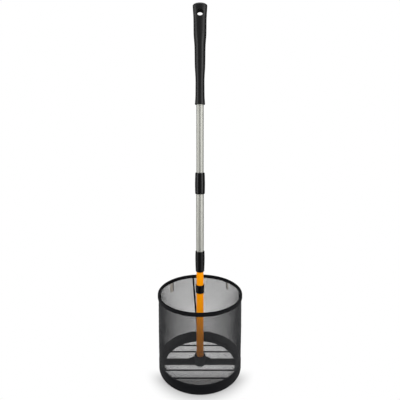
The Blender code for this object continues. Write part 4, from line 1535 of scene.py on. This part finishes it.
@dataclass
class Studio:
    """White floor and surroundings, soft lamps and the camera.

    Attributes:
        floor_shade_colour: Colour of the floor in sRGB hex, a grey that shows only in the shadow's patch, so
            that there the real shadow gets a painted shade on top of it.
        floor_size: Width of the floor.
        shadow_reach: Distances from the pole where the floor's shadow starts to fade and is gone.
        shadow_depth: Places behind the pole where it starts to fade and is gone, negative in front of it.
        fill: Strength of the surroundings as light.
        camera_place: Where the photograph was taken from.
        camera_tilt: How far the camera looks down, in degrees.
        lens: Focal length in millimetres.
        sensor: Width of the camera's frame in millimetres.
        shift: Vertical shift of the frame.
        sight: How far the camera sees.
        lamps: The soft boxes.
        cards: The grey cards.
    """

    floor_shade_colour: str = "#d6d6d6"
    floor_size: float = 60.0
    shadow_reach: Point = (0.108, 0.16)
    shadow_depth: Point = (-0.075, -0.018)
    fill: float = 0.92
    camera_place: tuple[float, float, float] = (0.0, -0.8305, 0.612)
    camera_tilt: float = 5.945
    lens: float = 28.06
    sensor: float = 36.0
    shift: float = -0.05
    sight: float = 200.0
    lamps: tuple[Lamp, ...] = (
        Lamp("left_softbox", -62.0, 1.9, 0.75, (0.6, 1.9), 10.0),
        Lamp("right_softbox", 54.0, 1.9, 0.75, (0.8, 1.9), 14.0),
        Lamp("top_softbox", 0.0, 0.3, 2.6, (1.8, 1.8), 12.0),
    )
    cards: tuple[GreyCard, ...] = (
        GreyCard("front_card", -50.0, 26.0, 0.135, foot=0.125),
        GreyCard("back_card", 76.0, 262.0, 0.04),
    )

    def build(self) -> None:
        """Build the studio."""
        self.build_surroundings()
        self.build_floor()
        for thing in self.lamps + self.cards:
            thing.build()
        self.build_camera()
        bpy.context.scene.view_settings.view_transform = "Standard"

    def seen_ray(self, tree: NodeTree) -> Node:
        """Tell rays that see the surroundings from those that only light the object.

        Args:
            tree: The node tree that asks.

        Returns:
            A node that is 1 for the camera, a reflection or a clear part.
        """
        path = add_node(tree, "ShaderNodeLightPath").outputs
        first = add_node(tree, "ShaderNodeMath", {0: path["Is Camera Ray"], 1: path["Is Glossy Ray"]},
                         operation="MAXIMUM")
        return add_node(tree, "ShaderNodeMath", {0: first, 1: path["Is Transmission Ray"]},
                        operation="MAXIMUM")

    def build_surroundings(self) -> None:
        """Make the surroundings: white to look at, and a soft even fill as light."""
        world = bpy.data.worlds.new("white_surroundings")
        bpy.context.scene.world = world
        world.use_nodes = True
        tree = world.node_tree
        tree.nodes.clear()
        strength = add_node(tree, "ShaderNodeMix", {"A": self.fill, "B": 1.0, "Factor": self.seen_ray(tree)},
                            data_type="FLOAT")
        light = add_node(tree, "ShaderNodeBackground", {"Color": linear("#ffffff"), "Strength": strength})
        add_node(tree, "ShaderNodeOutputWorld", {"Surface": light})

    def build_floor(self) -> None:
        """Make the floor, which shows the rendered shadow darkened by a painted shade from its grey colour,
        and turns into the white surroundings far off.
        """
        half = self.floor_size / 2
        mesh = bpy.data.meshes.new("floor")
        mesh.from_pydata([(-half, -half, 0), (half, -half, 0), (half, half, 0), (-half, half, 0)], [],
                         [(0, 1, 2, 3)])
        material = stage_material("paper_floor_with_painted_shade")
        tree = material.node_tree
        paper = add_node(tree, "ShaderNodeBsdfDiffuse", {"Color": linear(self.floor_shade_colour)})
        glow = add_node(tree, "ShaderNodeEmission", {"Color": linear("#ffffff"), "Strength": 1.0})
        place = add_node(tree, "ShaderNodeTexCoord").outputs["Object"]
        distance = add_node(tree, "ShaderNodeVectorMath", {0: place}, operation="LENGTH")
        depth = add_node(tree, "ShaderNodeSeparateXYZ", {"Vector": place}).outputs["Y"]
        # The grey paper shows only in a soft patch round the front of the foot: the real shadow there, with
        # painted shade from the paper's grey
        fades = []
        for value, (whole, gone) in ((distance, self.shadow_reach), (depth, self.shadow_depth)):
            fades.append(add_node(tree, "ShaderNodeMapRange",
                                  {"Value": value, "From Min": whole, "From Max": gone,
                                   "To Min": 1.0, "To Max": 0.0},
                                  interpolation_type="SMOOTHSTEP"))
        shaded = add_node(tree, "ShaderNodeMath", {0: fades[0], 1: fades[1]}, operation="MULTIPLY")
        white = add_node(tree, "ShaderNodeMath", {0: 1.0, 1: shaded}, operation="SUBTRACT")
        seen = add_node(tree, "ShaderNodeMath", {0: white, 1: self.seen_ray(tree)}, operation="MULTIPLY")
        surface = add_node(tree, "ShaderNodeMixShader", {0: seen, 1: paper, 2: glow})
        add_node(tree, "ShaderNodeOutputMaterial", {"Surface": surface})
        staged("floor", mesh, material)

    def build_camera(self) -> None:
        """Make the camera where the photograph was taken from."""
        data = bpy.data.cameras.new("camera")
        data.lens, data.sensor_width = self.lens, self.sensor
        data.shift_y, data.clip_end = self.shift, self.sight
        camera = placed("camera", data)
        camera.location = self.camera_place
        camera.rotation_euler = (math.radians(90.0 - self.camera_tilt), 0.0, 0.0)
        bpy.context.scene.camera = camera


def main() -> None:
    """Build the object's looks and its studio."""
    logging.basicConfig(level=logging.INFO, format="%(message)s")
    FRAME.update(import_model())
    builders: list[tuple[str, Callable[[], None]]] = [
        ("studio", Studio().build),
        ("net basket", NetBasket().build),
        ("cord gate", CordGate().build),
        ("rigid parts", RigidParts().build),
        ("handle grip", HandleGrip().build),
    ]
    for title, build in builders:
        log.info("Building the %s", title)
        build()


if __name__ == "__main__":
    main()
